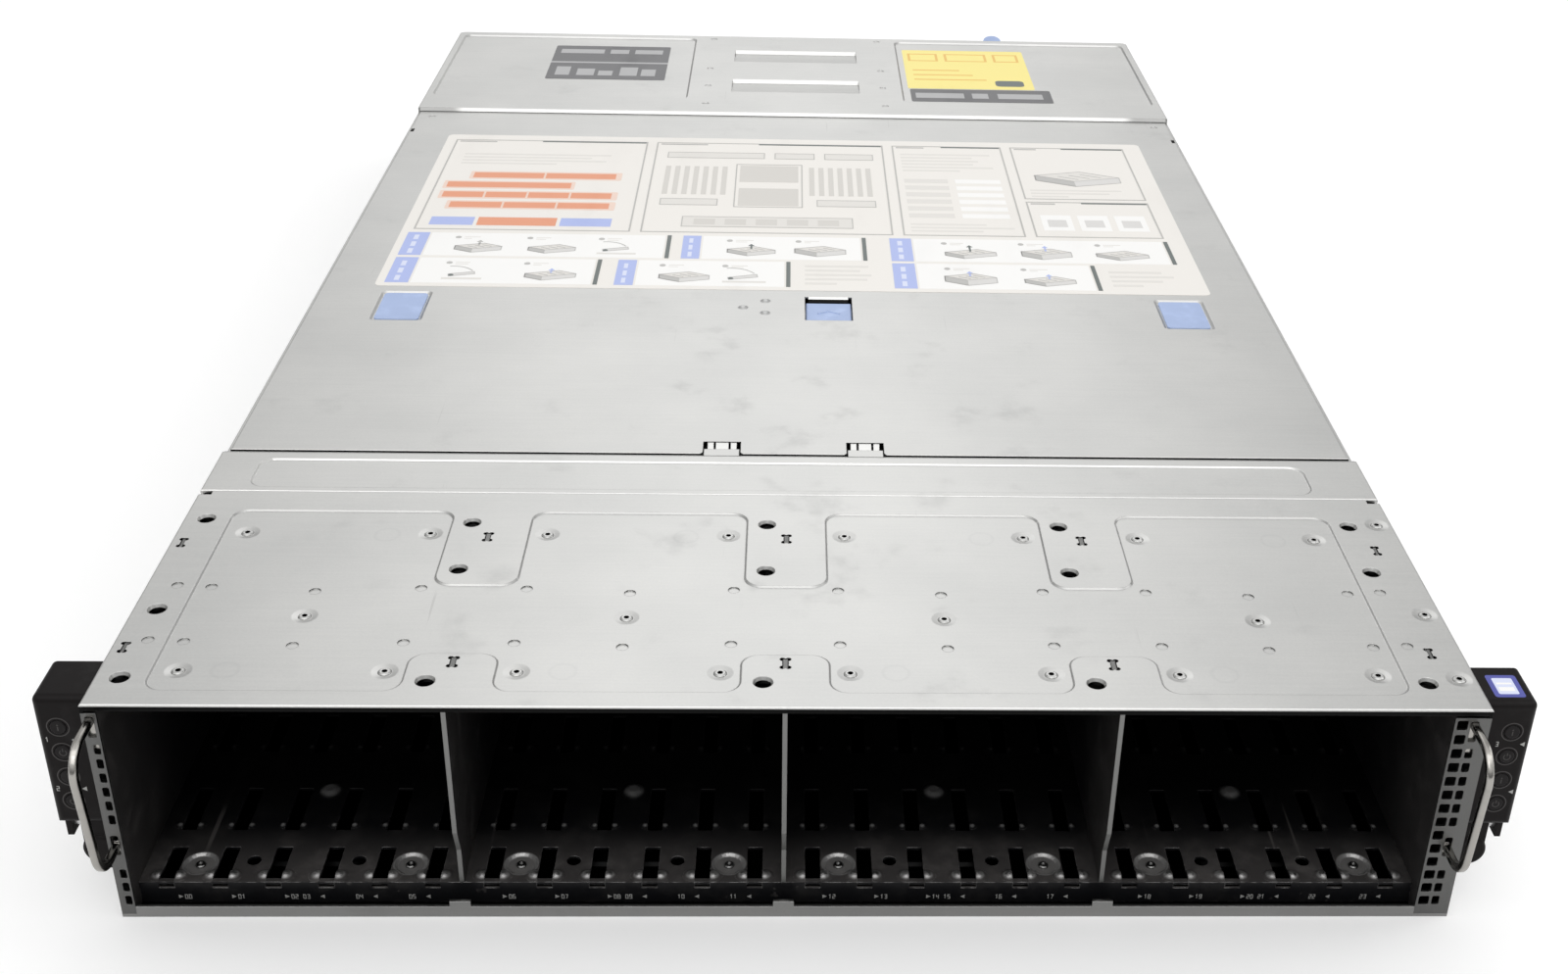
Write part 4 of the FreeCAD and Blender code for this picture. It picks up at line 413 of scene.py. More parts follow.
def circuitBoard(name, mask, track, sled=False):
    # solder mask with tracks and pads showing through; on a sled also memory modules and port shells
    f = newFinish(name)
    tracks = f.noise(2.2, (1, 0.12, 1), 1.0).ramp(0.5, 0.53)
    pads = f.cells(2.4).ramp(0.2, 0.24, 1.0, 0.0)
    colour = f.blend(pads * 0.5, f.blend(tracks * 0.7, mask, track), [c * 3 + 0.02 for c in track])
    rough = 0.36 + tracks * 0.1 - pads * 0.08
    if sled:
        height = f.along("Z")
        raised = height.within(boardTops[0] * mm, boardTops[1] * mm) + (height > boardTops[2] * mm)
        along = f.along("Y")
        chips = (along.wrap(7).size() < 4.6 * mm) * raised
        colour = f.blend(chips * (along < station(672)), colour, (0.006, 0.006, 0.0065))
        shells = raised * (along > station(740))
        colour = f.blend(shells, colour, (0.5, 0.5, 0.49))
        f.set({"Metallic": shells})
        rough = rough - chips * 0.06
    f.set({"Base Color": colour, "Roughness": rough, "Normal": f.bump(tracks + pads, 0.2, 0.03)})
    return f.owner


def castFins(name):
    # drawn aluminium with dull stains
    f = newFinish(name)
    draw = f.noise(0.8, (1, 0.04, 1), 3.0)
    stain = f.noise(12, detail=4.0).ramp(0.5, 0.75)
    colour = f.blend(stain * 0.4 + draw * 0.2, (0.74, 0.74, 0.74), (0.52, 0.52, 0.53))
    f.set({"Base Color": colour, "Metallic": 1.0})
    f.set({"Roughness": 0.3 + draw * 0.12 + stain * 0.1, "Normal": f.bump(draw, 0.15, 0.05)})
    return f.owner


def printed(name, colour, gloss=0.4):
    # coated paper or ink: slight mottle and faint rub marks
    f = newFinish(name)
    fibre = f.noise(0.8, detail=4.0)
    rub = f.noise(30, (1, 0.3, 1), 4.0).ramp(0.55, 0.78)
    worn = [c * 0.93 + 0.012 for c in colour]
    f.set({"Base Color": f.blend(rub * 0.5 + fibre * 0.3, colour, worn), "Specular IOR Level": 0.3})
    f.set({"Roughness": gloss + fibre * 0.06 + rub * 0.12, "Normal": f.bump(fibre, 0.05, 0.02)})
    return f.owner


finishes = {
    "deck": sheetSteel("deckSheet", shadow=deckShade, extra=weldRings),
    "top": sheetSteel("topSheet", shadow=noseShade, dull=fieldSide),
    "cover": sheetSteel("coverSheet", tint=0.98, shadow=coverShadow, extra=stampMarks),
    # painted shade: the floor pan is a darker copy of the galvanised sheet, for front faces that get little
    # light
    "pan": sheetSteel("panSheet", tint=0.47, shadow=cageWellShadow),
    "wall": sheetSteel("wallSheet", 1, 0.92),
    # painted shade: the front strips are a much darker copy of the galvanised sheet, for front faces that get
    # little light
    "strip": sheetSteel("stripSheet", 2, 0.235),
    "rivet": sheetSteel("rivetMetal", 0, 1.0, 0.05, rivetShade),
    "cage": cageBlack("cageCoat", wall=True),
    "cageFloor": cageBlack("cageFloorCoat", floor=True),
    "divider": cageBlack("dividerCoat", bareFront=True, wall=True),
    "supply": cageBlack("supplyCoat", lift=2.2),
    "handle": brightPlate("handlePlate"),
    "pin": brightPlate("pinSteel", (0.6, 0.6, 0.6), 0.25),
    "ear": mouldedPlastic("earMoulding", (0.0068, 0.0055, 0.0055), 0.4, 0.45, 0.22, 0.3, 0.1),
    "button": mouldedPlastic("buttonMoulding", (0.0085, 0.0072, 0.0074), 0.34, 0.45, 0.15, 0.3, 0.13),
    "blue": mouldedPlastic("touchBlue", (0.37, 0.47, 0.72), 0.4, 0.6, 0.12, 0.2),
    "orange": mouldedPlastic("tripOrange", (0.6, 0.17, 0.045), 0.4, 0.6, 0.12, 0.2),
    "fan": mouldedPlastic("fanMoulding", (0.02, 0.02, 0.021), 0.45, 0.6, 0.2, 0.2, 0.3),
    "board": circuitBoard("plainBoard", (0.012, 0.07, 0.035), (0.03, 0.13, 0.06)),
    "nodeBoard": circuitBoard("sledBoard", (0.012, 0.07, 0.035), (0.03, 0.13, 0.06), True),
    "backplane": circuitBoard("bayBoard", (0.004, 0.005, 0.005), (0.008, 0.01, 0.009)),
    "fins": castFins("coolerFins"),
}
# the finish of each CAD node, by its name or the end of it
finishOf = {
    "front_deck": "deck", "mid_strip": "top", "rear_top_panel": "top", "sliding_cover": "cover",
    "floor_pan": "pan", "deck_rivets": "rivet", "cage_floor": "cageFloor", "bay_dividers": "divider",
    "cage_wall": "cage", "front_strip": "strip", "pull_handle": "handle", "rack_latch_pins": "pin",
    "ear_housing": "ear", "rack_latch": "ear", "button": "button", "cover_latch": "blue",
    "grip_pads": "blue", "sled_lever": "blue", "supply_latch": "orange", "power_supply": "supply",
    "sled_board": "nodeBoard", "midplane": "board", "ear_boards": "board",
    "drive_backplane": "backplane", "coolers": "fins", "fan_frames": "fan",
}


def dressNodes():
    for name, piece in nodes.items():
        ends = [key for key in finishOf if name.endswith(key)]
        key = "fan" if name.startswith("fan_rotor") else finishOf[max(ends, key=len)] if ends else "wall"
        piece.data.materials.clear()
        piece.data.materials.append(finishes[key])


dressNodes()
print("finishes on", len(nodes), "CAD nodes")


# Flat shapes drawn in mm on a sheet and built as thin closed prisms, each in its ink
class Artwork:
    def __init__(self, name, inks, corner, right=(1, 0, 0), up=(0, 1, 0)):
        self.name = name
        self.inks = inks
        self.corner = Vector(corner)  # the sheet's lower left corner, in metres
        self.right = Vector(right)
        self.up = Vector(up)
        self.out = self.right.cross(self.up)
        self.low = -0.02
        self.high = 0.03
        self.step = 0.012
        self.mesh = bmesh.new()

    def point(self, x, y, z):
        return self.mesh.verts.new(self.corner + (self.right * x + self.up * y + self.out * z) * mm)

    def ground(self, width, height, radius, thick, ink):  # the sheet itself, on which the rest is drawn
        self.high = thick
        self.panel(0, 0, width, height, radius, ink)
        self.corner += self.out * thick * mm
        self.high = 0.03

    def level(self, ink):  # later inks lie on earlier ones
        return self.high + self.inks.index(ink) * self.step

    def face(self, corners, ink):
        self.mesh.faces.new(corners).material_index = self.inks.index(ink)

    def shape(self, points, ink):
        low = [self.point(x, y, self.low) for x, y in points]
        top = self.level(ink)
        high = [self.point(x, y, top) for x, y in points]
        self.face(high, ink)
        self.face(low[::-1], ink)
        for i in range(len(points)):
            self.face((low[i - 1], low[i], high[i], high[i - 1]), ink)

    def bar(self, x, y, width, height, ink):
        self.shape(outline(x, y, width, height), ink)

    def panel(self, x, y, width, height, radius, ink):  # a bar with rounded corners
        points = []
        for i, (cx, cy) in enumerate(((1, 0), (1, 1), (0, 1), (0, 0))):
            for k in range(5):
                turn = math.radians(i * 90 - 90 + k * 22.5)
                points.append((x + (width - radius if cx else radius) + radius * math.cos(turn),
                               y + (height - radius if cy else radius) + radius * math.sin(turn)))
        self.shape(points, ink)

    def disc(self, x, y, radius, ink, sides=20):
        self.shape(circle(x, y, radius, sides), ink)

    def stroke(self, points, width, ink, closed=False):  # a line of even width, mitred at its corners
        count = len(points)
        top = self.level(ink)
        rows = []
        for i, here in enumerate(points):
            here = Vector(here)
            before = Vector(points[i - 1]) if i or closed else None
            after = Vector(points[(i + 1) % count]) if i < count - 1 or closed else None
            first = (here - before).normalized() if before else (after - here).normalized()
            second = (after - here).normalized() if after else first
            middle = (first + second).normalized()
            side = Vector((-middle.y, middle.x)) * (width / 2 / max(0.4, middle.dot(first)))
            rows.append([self.point(*(here + side * s), z) for s, z in
                         ((1, self.low), (1, top), (-1, top), (-1, self.low))])
        for i in range(count if closed else count - 1):
            a, b = rows[i], rows[(i + 1) % count]
            for k in range(4):
                self.face((a[k], a[k - 1], b[k - 1], b[k]), ink)
        if not closed:
            self.face(rows[0], ink)
            self.face(rows[-1][::-1], ink)

    def frame(self, x, y, width, height, line, ink):
        self.stroke(outline(x, y, width, height), line, ink, True)

    def number(self, text, x, y, height, ink):
        line = height * 0.16
        for digit in text:
            for i, points in enumerate(digitStrokes[digit]):
                placed = [(x + u * height * 0.45, y + v * height / 2) for u, v in points]
                self.high += i * self.step  # a second stroke lies on the first
                self.stroke(placed, line, ink)
                self.high -= i * self.step
            x += height * 0.75

    def build(self, body):
        bmesh.ops.recalc_face_normals(self.mesh, faces=self.mesh.faces[:])
        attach(meshObject(self.name, self.mesh, [inks[ink] for ink in self.inks]), body)


def arc(x, y, radius, start, end, steps):
    turns = [math.radians(start + (end - start) * i / steps) for i in range(steps + 1)]
    return [(x + radius * math.cos(t), y + radius * math.sin(t)) for t in turns]


def circle(x, y, radius, sides):
    return arc(x, y, radius, 0, 360 - 360 / sides, sides - 1)


def outline(x, y, width, height):
    return [(x, y), (x + width, y), (x + width, y + height), (x, y + height)]


digitStrokes = {
    "0": [[(1, 2), (0, 2), (0, 0), (1, 0), (1, 1.82)]], "1": [[(0.1, 1.6), (0.5, 2), (0.5, 0)]],
    "2": [[(0, 2), (1, 2), (1, 1), (0, 1), (0, 0), (1, 0)]],
    "3": [[(0, 2), (1, 2), (1, 0), (0, 0)], [(0.2, 1), (0.8, 1)]],
    "4": [[(0, 2), (0, 1), (0.8, 1)], [(1, 2), (1, 0)]],
    "5": [[(1, 2), (0, 2), (0, 1), (1, 1), (1, 0), (0, 0)]],
    "6": [[(1, 2), (0, 2), (0, 0), (1, 0), (1, 1), (0.2, 1)]], "7": [[(0, 2), (1, 2), (0.4, 0)]],
    "8": [[(1, 2), (0, 2), (0, 0), (1, 0), (1, 1.82)], [(0.2, 1), (0.8, 1)]],
    "9": [[(0.8, 1), (0, 1), (0, 2), (1, 2), (1, 0), (0, 0)]],
}
inks = {
    "ivory": (0.80, 0.775, 0.735), "white": (0.875, 0.87, 0.855), "rule": (0.46, 0.455, 0.435),
    "dark": (0.13, 0.15, 0.145), "pale": (0.62, 0.60, 0.565), "grey": (0.47, 0.465, 0.45),
    "line": (0.71, 0.69, 0.655), "orange": (0.74, 0.31, 0.18), "peach": (0.80, 0.62, 0.53),
    "blue": (0.40, 0.47, 0.78), "sky": (0.66, 0.70, 0.86), "sketch": (0.66, 0.65, 0.635),
    "yellow": (0.90, 0.78, 0.26), "ochre": (0.80, 0.50, 0.12), "slate": (0.14, 0.14, 0.145),
    "ash": (0.42, 0.42, 0.425), "mark": (0.30, 0.30, 0.29), "ringMark": (0.036, 0.033, 0.032),
    "navy": (0.085, 0.095, 0.36),
}
inks = {key: printed(key + "Ink", colour) for key, colour in inks.items()}

# Service label on the sliding cover; places are left, low, width and height in mm from its lower left corner
label = {
    "x": (-198.6, 199.0), "stations": (337.4, 557.4), "thick": 0.15, "corner": 3.0, "seed": 11,
    "abovePads": 0.3,  # how far the cover's face lies above the grip pads
    "panels": ((6, 73, 108, 138), (120, 73, 128, 138), (254, 73, 62, 138), (322, 128, 65, 83),
               (322, 73, 65, 50)),
    "table": ((18, 84, 3), (12, 90, 4), (12, 66, 1), (24, 78, 2)),  # left, width and parts of each row
    "tableLow": 104, "tablePitch": 15, "tableBar": 8, "tableEdge": 2,
    "bars": (("blue", 12, 79, 22, 11), ("orange", 36, 79, 40, 11), ("blue", 78, 79, 26, 11),
             ("pale", 168, 148, 32, 26), ("pale", 168, 112, 32, 26)),
    # rows of bars, with their count and steps to the right and up
    "rows": (("pale", 127, 128, 2.8, 44, 7, 5.2, 0), ("pale", 206, 128, 2.8, 44, 7, 5.2, 0),
             ("pale", 146, 84, 11, 8, 5, 16, 0), ("line", 258, 98, 24, 6, 6, 0, 10.5),
             ("white", 286, 98, 25, 6, 6, 0, 10.5), ("white", 327, 82, 16, 22, 3, 19.5, 0),
             ("sketch", 330, 87, 10, 10, 3, 19.5, 0)),
    "boxes": ((127, 186, 54, 9), (187, 186, 22, 9), (215, 186, 27, 9), (127, 112, 30, 9), (210, 112, 31, 9),
              (140, 81, 88, 14)),
    "boardOutline": (166, 110, 36, 66), "case": (352, 148, 30, 30, 8),
    "print": ((14, 170, 92, 20, 4), (258, 168, 54, 32, 6), (258, 77, 54, 14, 3)),  # rows last
    "casePrint": (326, 130, 56, 14, 3), "stepPrint": ((203, 6, 34, 27, 5), (352, 8, 34, 22, 4)),
    "steps": ((4, 38, 132, 30, 11), (142, 38, 92, 30, 9), (246, 38, 142, 30, 11), (4, 4, 100, 31, 11),
              (112, 4, 84, 31, 9), (246, 4, 100, 31, 11)),  # width of the tab last
    "inks": ["ivory", "white", "line", "peach", "sketch", "pale", "blue", "sky", "orange", "rule", "grey",
             "dark"],
}


def greek(art, x, y, width, height, rows, ink, dice):  # rows of plain bars where small print would be
    pitch = height / rows
    for i in range(rows):
        run = width * (dice.uniform(0.72, 1.0) if i < rows - 1 else dice.uniform(0.35, 0.7))
        art.bar(x, y + height - (i + 0.75) * pitch, run, pitch * 0.42, ink)


def crate(art, x, y, width, depth, height, dice):  # a box drawn from a corner, with its outlines
    right = (width * 0.86, width * 0.22)
    left = (-depth * 0.7, depth * 0.3)
    foot = (x, y)
    a = (x + right[0], y + right[1])
    b = (x + left[0], y + left[1])
    lift = [(p[0], p[1] + height) for p in (foot, a, b)]
    back = (a[0] + left[0], a[1] + left[1] + height)
    art.shape([foot, a, lift[1], lift[0]], "sketch")
    art.shape([b, foot, lift[0], lift[2]], "grey")
    art.shape([lift[0], lift[1], back, lift[2]], "line")
    art.stroke([b, foot, a, lift[1], back, lift[2]], 0.45, "grey", True)
    art.stroke([lift[2], lift[0], lift[1]], 0.4, "grey")
    for i in range(1, 4):  # slots on its top
        k = i / 4
        start = [lift[0][j] * (1 - k) + lift[1][j] * k for j in (0, 1)]
        run = [(lift[2][j] - lift[0][j]) * 0.7 for j in (0, 1)]
        art.stroke([(start[0] + run[0] * s, start[1] + run[1] * s) for s in (0.25, 1)], 0.5, "grey")
    if dice.random() < 0.6:
        u, v = (lift[0][0] + back[0]) / 2, (lift[0][1] + back[1]) / 2
        tip = v + dice.uniform(4, 7)
        arrow = [(u - 0.5, v + 1), (u + 0.5, v + 1), (u + 0.5, tip), (u + 1.6, tip), (u, tip + 2.4),
                 (u - 1.6, tip), (u - 0.5, tip)]
        art.shape(arrow, dice.choice(("dark", "grey", "blue")))


def lever(art, x, y, size):  # a turned lever with its path
    art.stroke(arc(x, y, size, 30, 100, 8), 0.6, "grey")
    bar = [(x - 1, y - 1.4), (x + size, y + size * 0.16), (x + size * 0.96, y + size * 0.42),
           (x - 1.4, y + 1.4)]
    art.shape(bar, "sketch")
    art.stroke(bar, 0.4, "grey", True)
    art.bar(x - 4, y - 5, size + 8, 2.2, "line")
    art.disc(x, y, 1.3, "dark", 12)


def stepBox(art, x, y, width, height, tab, dice):  # a white box of drawings behind a blue tab
    art.bar(x, y, tab, height, "blue")
    for i in range(int(height // 9)):
        art.bar(x + tab * 0.35, y + 2.5 + i * 9, tab * 0.22, 6, "sky")
    art.bar(x + tab + 1, y, width - tab - 4, height, "white")
    art.bar(x + width - 2, y, 2, height, "dark")
    count = max(1, int((width - tab) // 36))
    for i in range(count):
        middle = x + tab + 9 + (i + 0.42) * (width - tab - 14) / count
        if dice.random() < 0.72:
            sizes = [dice.uniform(*span) for span in ((16, 20), (12, 16), (4, 7))]
            crate(art, middle, y + height * 0.14, *sizes, dice)
        else:
            lever(art, middle - 6, y + height * 0.3, dice.uniform(11, 15))
        art.disc(middle - 9, y + height * 0.8, 1.5, "grey", 14)
        greek(art, middle - 6, y + height * 0.72, 9, 4, 2, "line", dice)


def serviceLabel():
    dice = random.Random(label["seed"])
    (x0, x1), (y0, y1) = label["x"], label["stations"]
    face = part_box("grip_pads")[1].z + label["abovePads"] * mm
    art = Artwork("service_label", label["inks"], (x0 * mm, station(y0), face))
    art.ground(x1 - x0, y1 - y0, label["corner"], label["thick"], "ivory")
    for x, y, w, h in label["panels"]:
        art.frame(x, y, w, h, 0.8, "rule")
        art.bar(x + w * 0.45, y + h - 1.9, w * 0.55 - 0.6, 1.4, "dark")
        greek(art, x + 2, y + h - 4.2, w * 0.38, 3.6, 1, "grey", dice)
    tall, edge = label["tableBar"], label["tableEdge"]
    for i, (start, run, parts) in enumerate(label["table"]):
        low = label["tableLow"] + i * label["tablePitch"]
        art.panel(start - edge, low - edge, run + 2 * edge, tall + 2 * edge, 1.2, "peach")
        for k in range(parts):
            art.bar(start + k * run / parts, low, run / parts - (1.2 if parts > 1 else 0), tall, "orange")
    for ink, *place in label["bars"]:
        art.bar(*place, ink)
    for ink, x, y, w, h, count, right, up in label["rows"]:
        for i in range(count):
            art.bar(x + i * right, y + i * up, w, h, ink)
    art.frame(*label["boardOutline"], 0.6, "rule")
    for place in label["boxes"]:
        art.bar(*place, "line")
        art.frame(*place, 0.5, "rule")
    for place in label["print"]:
        greek(art, *place, "line", dice)
    crate(art, *label["case"], dice)
    greek(art, *label["casePrint"], "line", dice)
    for place in label["steps"]:
        stepBox(art, *place, dice)
    for place in label["stepPrint"]:
        greek(art, *place, "line", dice)
    art.build("cover")


# Blank stickers on the rear sheet, in its sunk fields
stickers = {  # areas as left, right, front and rear; bars as left, low, width and height
    "thick": 0.12, "sunk": 1.0, "corner": 1.5,
    "slate": (-156.8, -82.2, 665.0, 738.0), "yellow": (70.4, 150.2, 657.0, 741.0),
    "strip": (71.4, 159.0, 630.5, 655.5),
    "slateTop": ((4, 28), (36, 12), (52, 18)), "yellowTop": ((4, 18), (28, 26), (60, 15)),  # left and width
    "stripBars": ((3, 7, 30, 10), (38, 7, 10, 10), (54, 7, 28, 10)),
}


def sticker(name, key, inkNames):
    x0, x1, y0, y1 = stickers[key]
    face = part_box("rear_top_panel")[1].z - stickers["sunk"] * mm
    art = Artwork(name, inkNames, (x0 * mm, station(y0), face))
    art.ground(x1 - x0, y1 - y0, stickers["corner"], stickers["thick"], inkNames[0])
    return art, x1 - x0, y1 - y0


def rearStickers():
    art, w, h = sticker("slate_sticker", "slate", ["slate", "ash"])
    art.bar(0, h * 0.47, w, 3.0, "ash")
    for i in range(5):
        art.bar(5 + i * 13.5, 8, 9 + i % 2 * 2, 18 - i % 3 * 4, "ash")
    for x, run in stickers["slateTop"]:
        art.bar(x, h - 17, run, 9, "ash")
    art.build("chassis")
    art, w, h = sticker("yellow_sticker", "yellow", ["yellow", "ochre", "dark"])
    for x, run in stickers["yellowTop"]:
        art.frame(x, h - 24, run, 15, 1.6, "ochre")
    for i in range(3):
        art.bar(5, 18 + i * 10, 46 - i * 8, 2.0, "ochre")
    art.panel(56, 6, 18, 12, 3, "dark")
    art.build("chassis")
    art = sticker("strip_sticker", "strip", ["slate", "ash"])[0]
    for place in stickers["stripBars"]:
        art.bar(*place, "ash")
    art.build("chassis")


# Marks moulded or printed on the control ears and the drive cage
earMarks = {
    "x": 234.0, "heights": (74.4, 64.6, 54.8, 45.0), "between": (69.5, 49.9), "ring": 3.5, "line": 0.35,
    "numbers": {"left": "12", "right": "34"},
}
buttonNames = ("first_id", "first_power", "second_id", "second_power")
frontFacing = ((1, 0, 0), (0, 0, 1))  # right and up of a sheet that faces the front


def markEars():
    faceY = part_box("left_ear_housing")[0].y
    for side, name in ((-1, "left"), (1, "right")):
        x = side * earMarks["x"]
        art = Artwork(name + "_ear_marks", ["ringMark", "mark"], (x * mm, faceY, 0), *frontFacing)
        for z in earMarks["heights"]:
            art.stroke(circle(0, z, earMarks["ring"], 24), earMarks["line"], "ringMark", True)
        for digit, z in zip(earMarks["numbers"][name], earMarks["between"]):
            art.number(digit, -4.6, z - 0.8, 1.7, "mark")
            art.shape([(3.4, z), (5.0, z - 0.9), (5.0, z + 0.9)], "mark")
        art.build("chassis")
        for button, z in zip(buttonNames, earMarks["heights"]):
            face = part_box(f"{name}_{button}_button")[0].y
            icon = Artwork(f"{name}_{button}_icon", ["ringMark"], (x * mm, face, z * mm), *frontFacing)
            if button.endswith("power"):
                icon.stroke(arc(0, -0.1, 1.1, 130, 410, 14), 0.3, "ringMark")
                icon.bar(-0.15, 0.3, 0.3, 1.2, "ringMark")
            else:
                icon.disc(0, 0.95, 0.28, "ringMark", 10)
                icon.bar(-0.18, -1.2, 0.36, 1.6, "ringMark")
            icon.build(f"{name}_{button}_button")


earSticker = {"x": (227.4, 237.6), "y": (3.2, 15.6), "inset": 1.7}  # from the ear's front


def markEarTop():
    low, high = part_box("right_ear_housing")
    x0, x1 = earSticker["x"]
    y0, y1 = earSticker["y"]
    art = Artwork("ear_sticker", ["navy", "sky", "white"], (x0 * mm, low.y + y0 * mm, high.z))
    art.high = 0.06
    gap = earSticker["inset"]
    art.panel(0, 0, x1 - x0, y1 - y0, 1.0, "navy")
    art.panel(gap, gap, x1 - x0 - 2 * gap, y1 - y0 - 2 * gap, 0.6, "sky")
    art.bar(gap * 1.5, gap * 2, x1 - x0 - 3 * gap, 2.2, "white")
    art.bar(gap * 1.5, gap * 4.2, x1 - x0 - 3 * gap, 1.0, "white")
    art.build("chassis")


driveMarks = {"height": 1.7, "low": 2.7}


def markDrives():
    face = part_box("cage_floor")[0].y
    art = Artwork("drive_marks", ["mark"], (0, face, 0), *frontFacing)
    z = driveMarks["low"]
    for i, centre in enumerate(drivePlaces):
        left = i % 6 < 3
        x = centre + (3.4 if left else -8.2)
        art.number(f"{i:02d}", x + (2.2 if left else 0), z, driveMarks["height"], "mark")
        tip = x + (1.5 if left else 5.6)
        back = -1.5 if left else 1.5
        art.shape([(tip, z + 0.9), (tip + back, z + 1.7), (tip + back, z + 0.1)], "mark")
    art.build("chassis")


serviceLabel()
rearStickers()
markEars()
markEarTop()
markDrives()
print("label, stickers and marks made")


# Fittings of the rear: port fronts, card brackets and lamps on the sleds, bezels on the supplies
inks.update({
    "tin": sheetSteel("portTin", tint=0.85, shine=0.05),
    "gold": brightPlate("contactGold", (0.75, 0.53, 0.22), 0.22),
    "socket": mouldedPlastic("portBlack", (0.008, 0.008, 0.009), 0.5),
    "tongue": mouldedPlastic("portTongue", (0.05, 0.12, 0.42)),
    "greenLens": mouldedPlastic("lensGreen", (0.10, 0.46, 0.16), 0.2, 0.9, 0.08),
    "amberLens": mouldedPlastic("lensAmber", (0.72, 0.36, 0.05), 0.2, 0.9, 0.08),
    "bezel": mouldedPlastic("bezelBlack", (0.012, 0.012, 0.013), 0.35),
})
sleds = ("lower_left_sled", "upper_left_sled", "lower_right_sled", "upper_right_sled")
lampInks = ("greenLens", "amberLens")
rearFacing = ((-1, 0, 0), (0, 0, 1))  # right and up of a sheet that faces the rear
sledRear = {  # ports by left edge, width and height; screws from the sides, the rest from the middle
    "jacks": ((10.0, 16.0, 13.0), (30.0, 16.0, 13.0)), "sockets": ((52.0, 13.0, 6.0), (70.0, 8.0, 5.5)),
    "low": 4.0, "gap": 0.3, "sunk": 0.5, "card": (12.0, 6.0, 22.0, 13.0),
    "slots": (2.0, 16, 1.5),  # edge, count and bar of the card's slots
    "lamps": ((11.0, 13.5), (11.0, 9.0)), "lamp": 1.2, "screws": ((4.5, 36.0), (-4.5, 3.6)), "screw": 1.9,
    "tag": (24.0, 6.0, 34.0, 10.0), "tagBars": (0.8, 3, 2.5, 1.8, 2.6, 0.2, 1.1),
}
supplyRear = {
    "inlet": (-40.0, 28.0, 9.0, 21.0), "bezel": 0.9, "lamps": ((-36.0, 35.0), (-31.0, 35.0)), "lamp": 1.2,
    "screws": ((-42.0, 3.4), (30.0, 3.4)), "screw": 1.7,
    "tag": (-27.0, 32.6, 15.0, 5.0), "tagBars": (0.6, 2, 1.4, 1.1, 1.8, 0.25, 0.8),
}
sideRivets = {"first": 96.0, "pitch": 71.0, "count": 10, "heights": (9.0, 77.5), "radius": 2.3, "crown": 0.45}


class Fitting(Artwork):
    def raised(self, height, low=-0.02):  # how far the next shapes stand out
        self.low, self.high = low, height
        self.step = 0.0
        return self

    def turned(self, x, y, profile, ink, sides=24):  # a round button from (radius, height) pairs
        rings = []
        for r, z in profile:
            rings.append([self.point(px, py, z) for px, py in circle(x, y, r, sides)])
        self.face(rings[0][::-1], ink)
        for a, b in zip(rings, rings[1:]):
            for i in range(sides):
                self.face((a[i - 1], a[i], b[i], b[i - 1]), ink)
        self.face(rings[-1], ink)

    def screw(self, x, y, radius, ink):  # a pan head with a round recess
        self.turned(x, y, ((radius, -0.02), (radius, 0.5), (radius * 0.82, 0.85), (radius * 0.42, 0.85),
                           (radius * 0.34, 0.35)), ink)

    def lens(self, x, y, radius, ink):
        profile = ((radius, -0.02), (radius, 0.3), (radius * 0.7, 0.55), (radius * 0.25, 0.65))
        self.turned(x, y, profile, ink, 16)

    def slotted(self, x, y, width, height, edge, slots, bar, ink):  # a plate with a row of upright slots
        run = (width - 2 * edge - (slots - 1) * bar) / slots
        across = [x, x + edge]
        for i in range(slots):
            left = x + edge + i * (run + bar)
            across += [left + run] if i == slots - 1 else [left + run, left + run + bar]
        across.append(x + width)
        up = [y, y + edge, y + height - edge, y + height]
        low = [[self.point(u, v, self.low) for v in up] for u in across]
        high = [[self.point(u, v, self.high) for v in up] for u in across]

        def solid(i, k):
            inside = 0 <= i < len(across) - 1 and 0 <= k < 3
            return inside and (k != 1 or i % 2 == 0)

        for i in range(len(across) - 1):
            for k in range(3):
                if not solid(i, k):
                    continue
                self.face((high[i][k], high[i + 1][k], high[i + 1][k + 1], high[i][k + 1]), ink)
                self.face((low[i][k], low[i][k + 1], low[i + 1][k + 1], low[i + 1][k]), ink)
                walls = (((i, k), (i + 1, k), (i, k - 1)), ((i, k + 1), (i + 1, k + 1), (i, k + 1)),
                         ((i, k), (i, k + 1), (i - 1, k)), ((i + 1, k), (i + 1, k + 1), (i + 1, k)))
                for (a, b), (c, d), beyond in walls:
                    if not solid(*beyond):
                        self.face((low[a][b], low[c][d], high[c][d], high[a][b]), ink)

    def tag(self, x, y, width, height, corner, count, inset, low, pitch, shrink, line):
        # a blank tag with grey bars
        self.raised(0.1).panel(x, y, width, height, corner, "white")
        for i in range(count):
            self.raised(0.14).bar(x + inset, y + low + i * pitch, width * (0.8 - shrink * i), line, "grey")


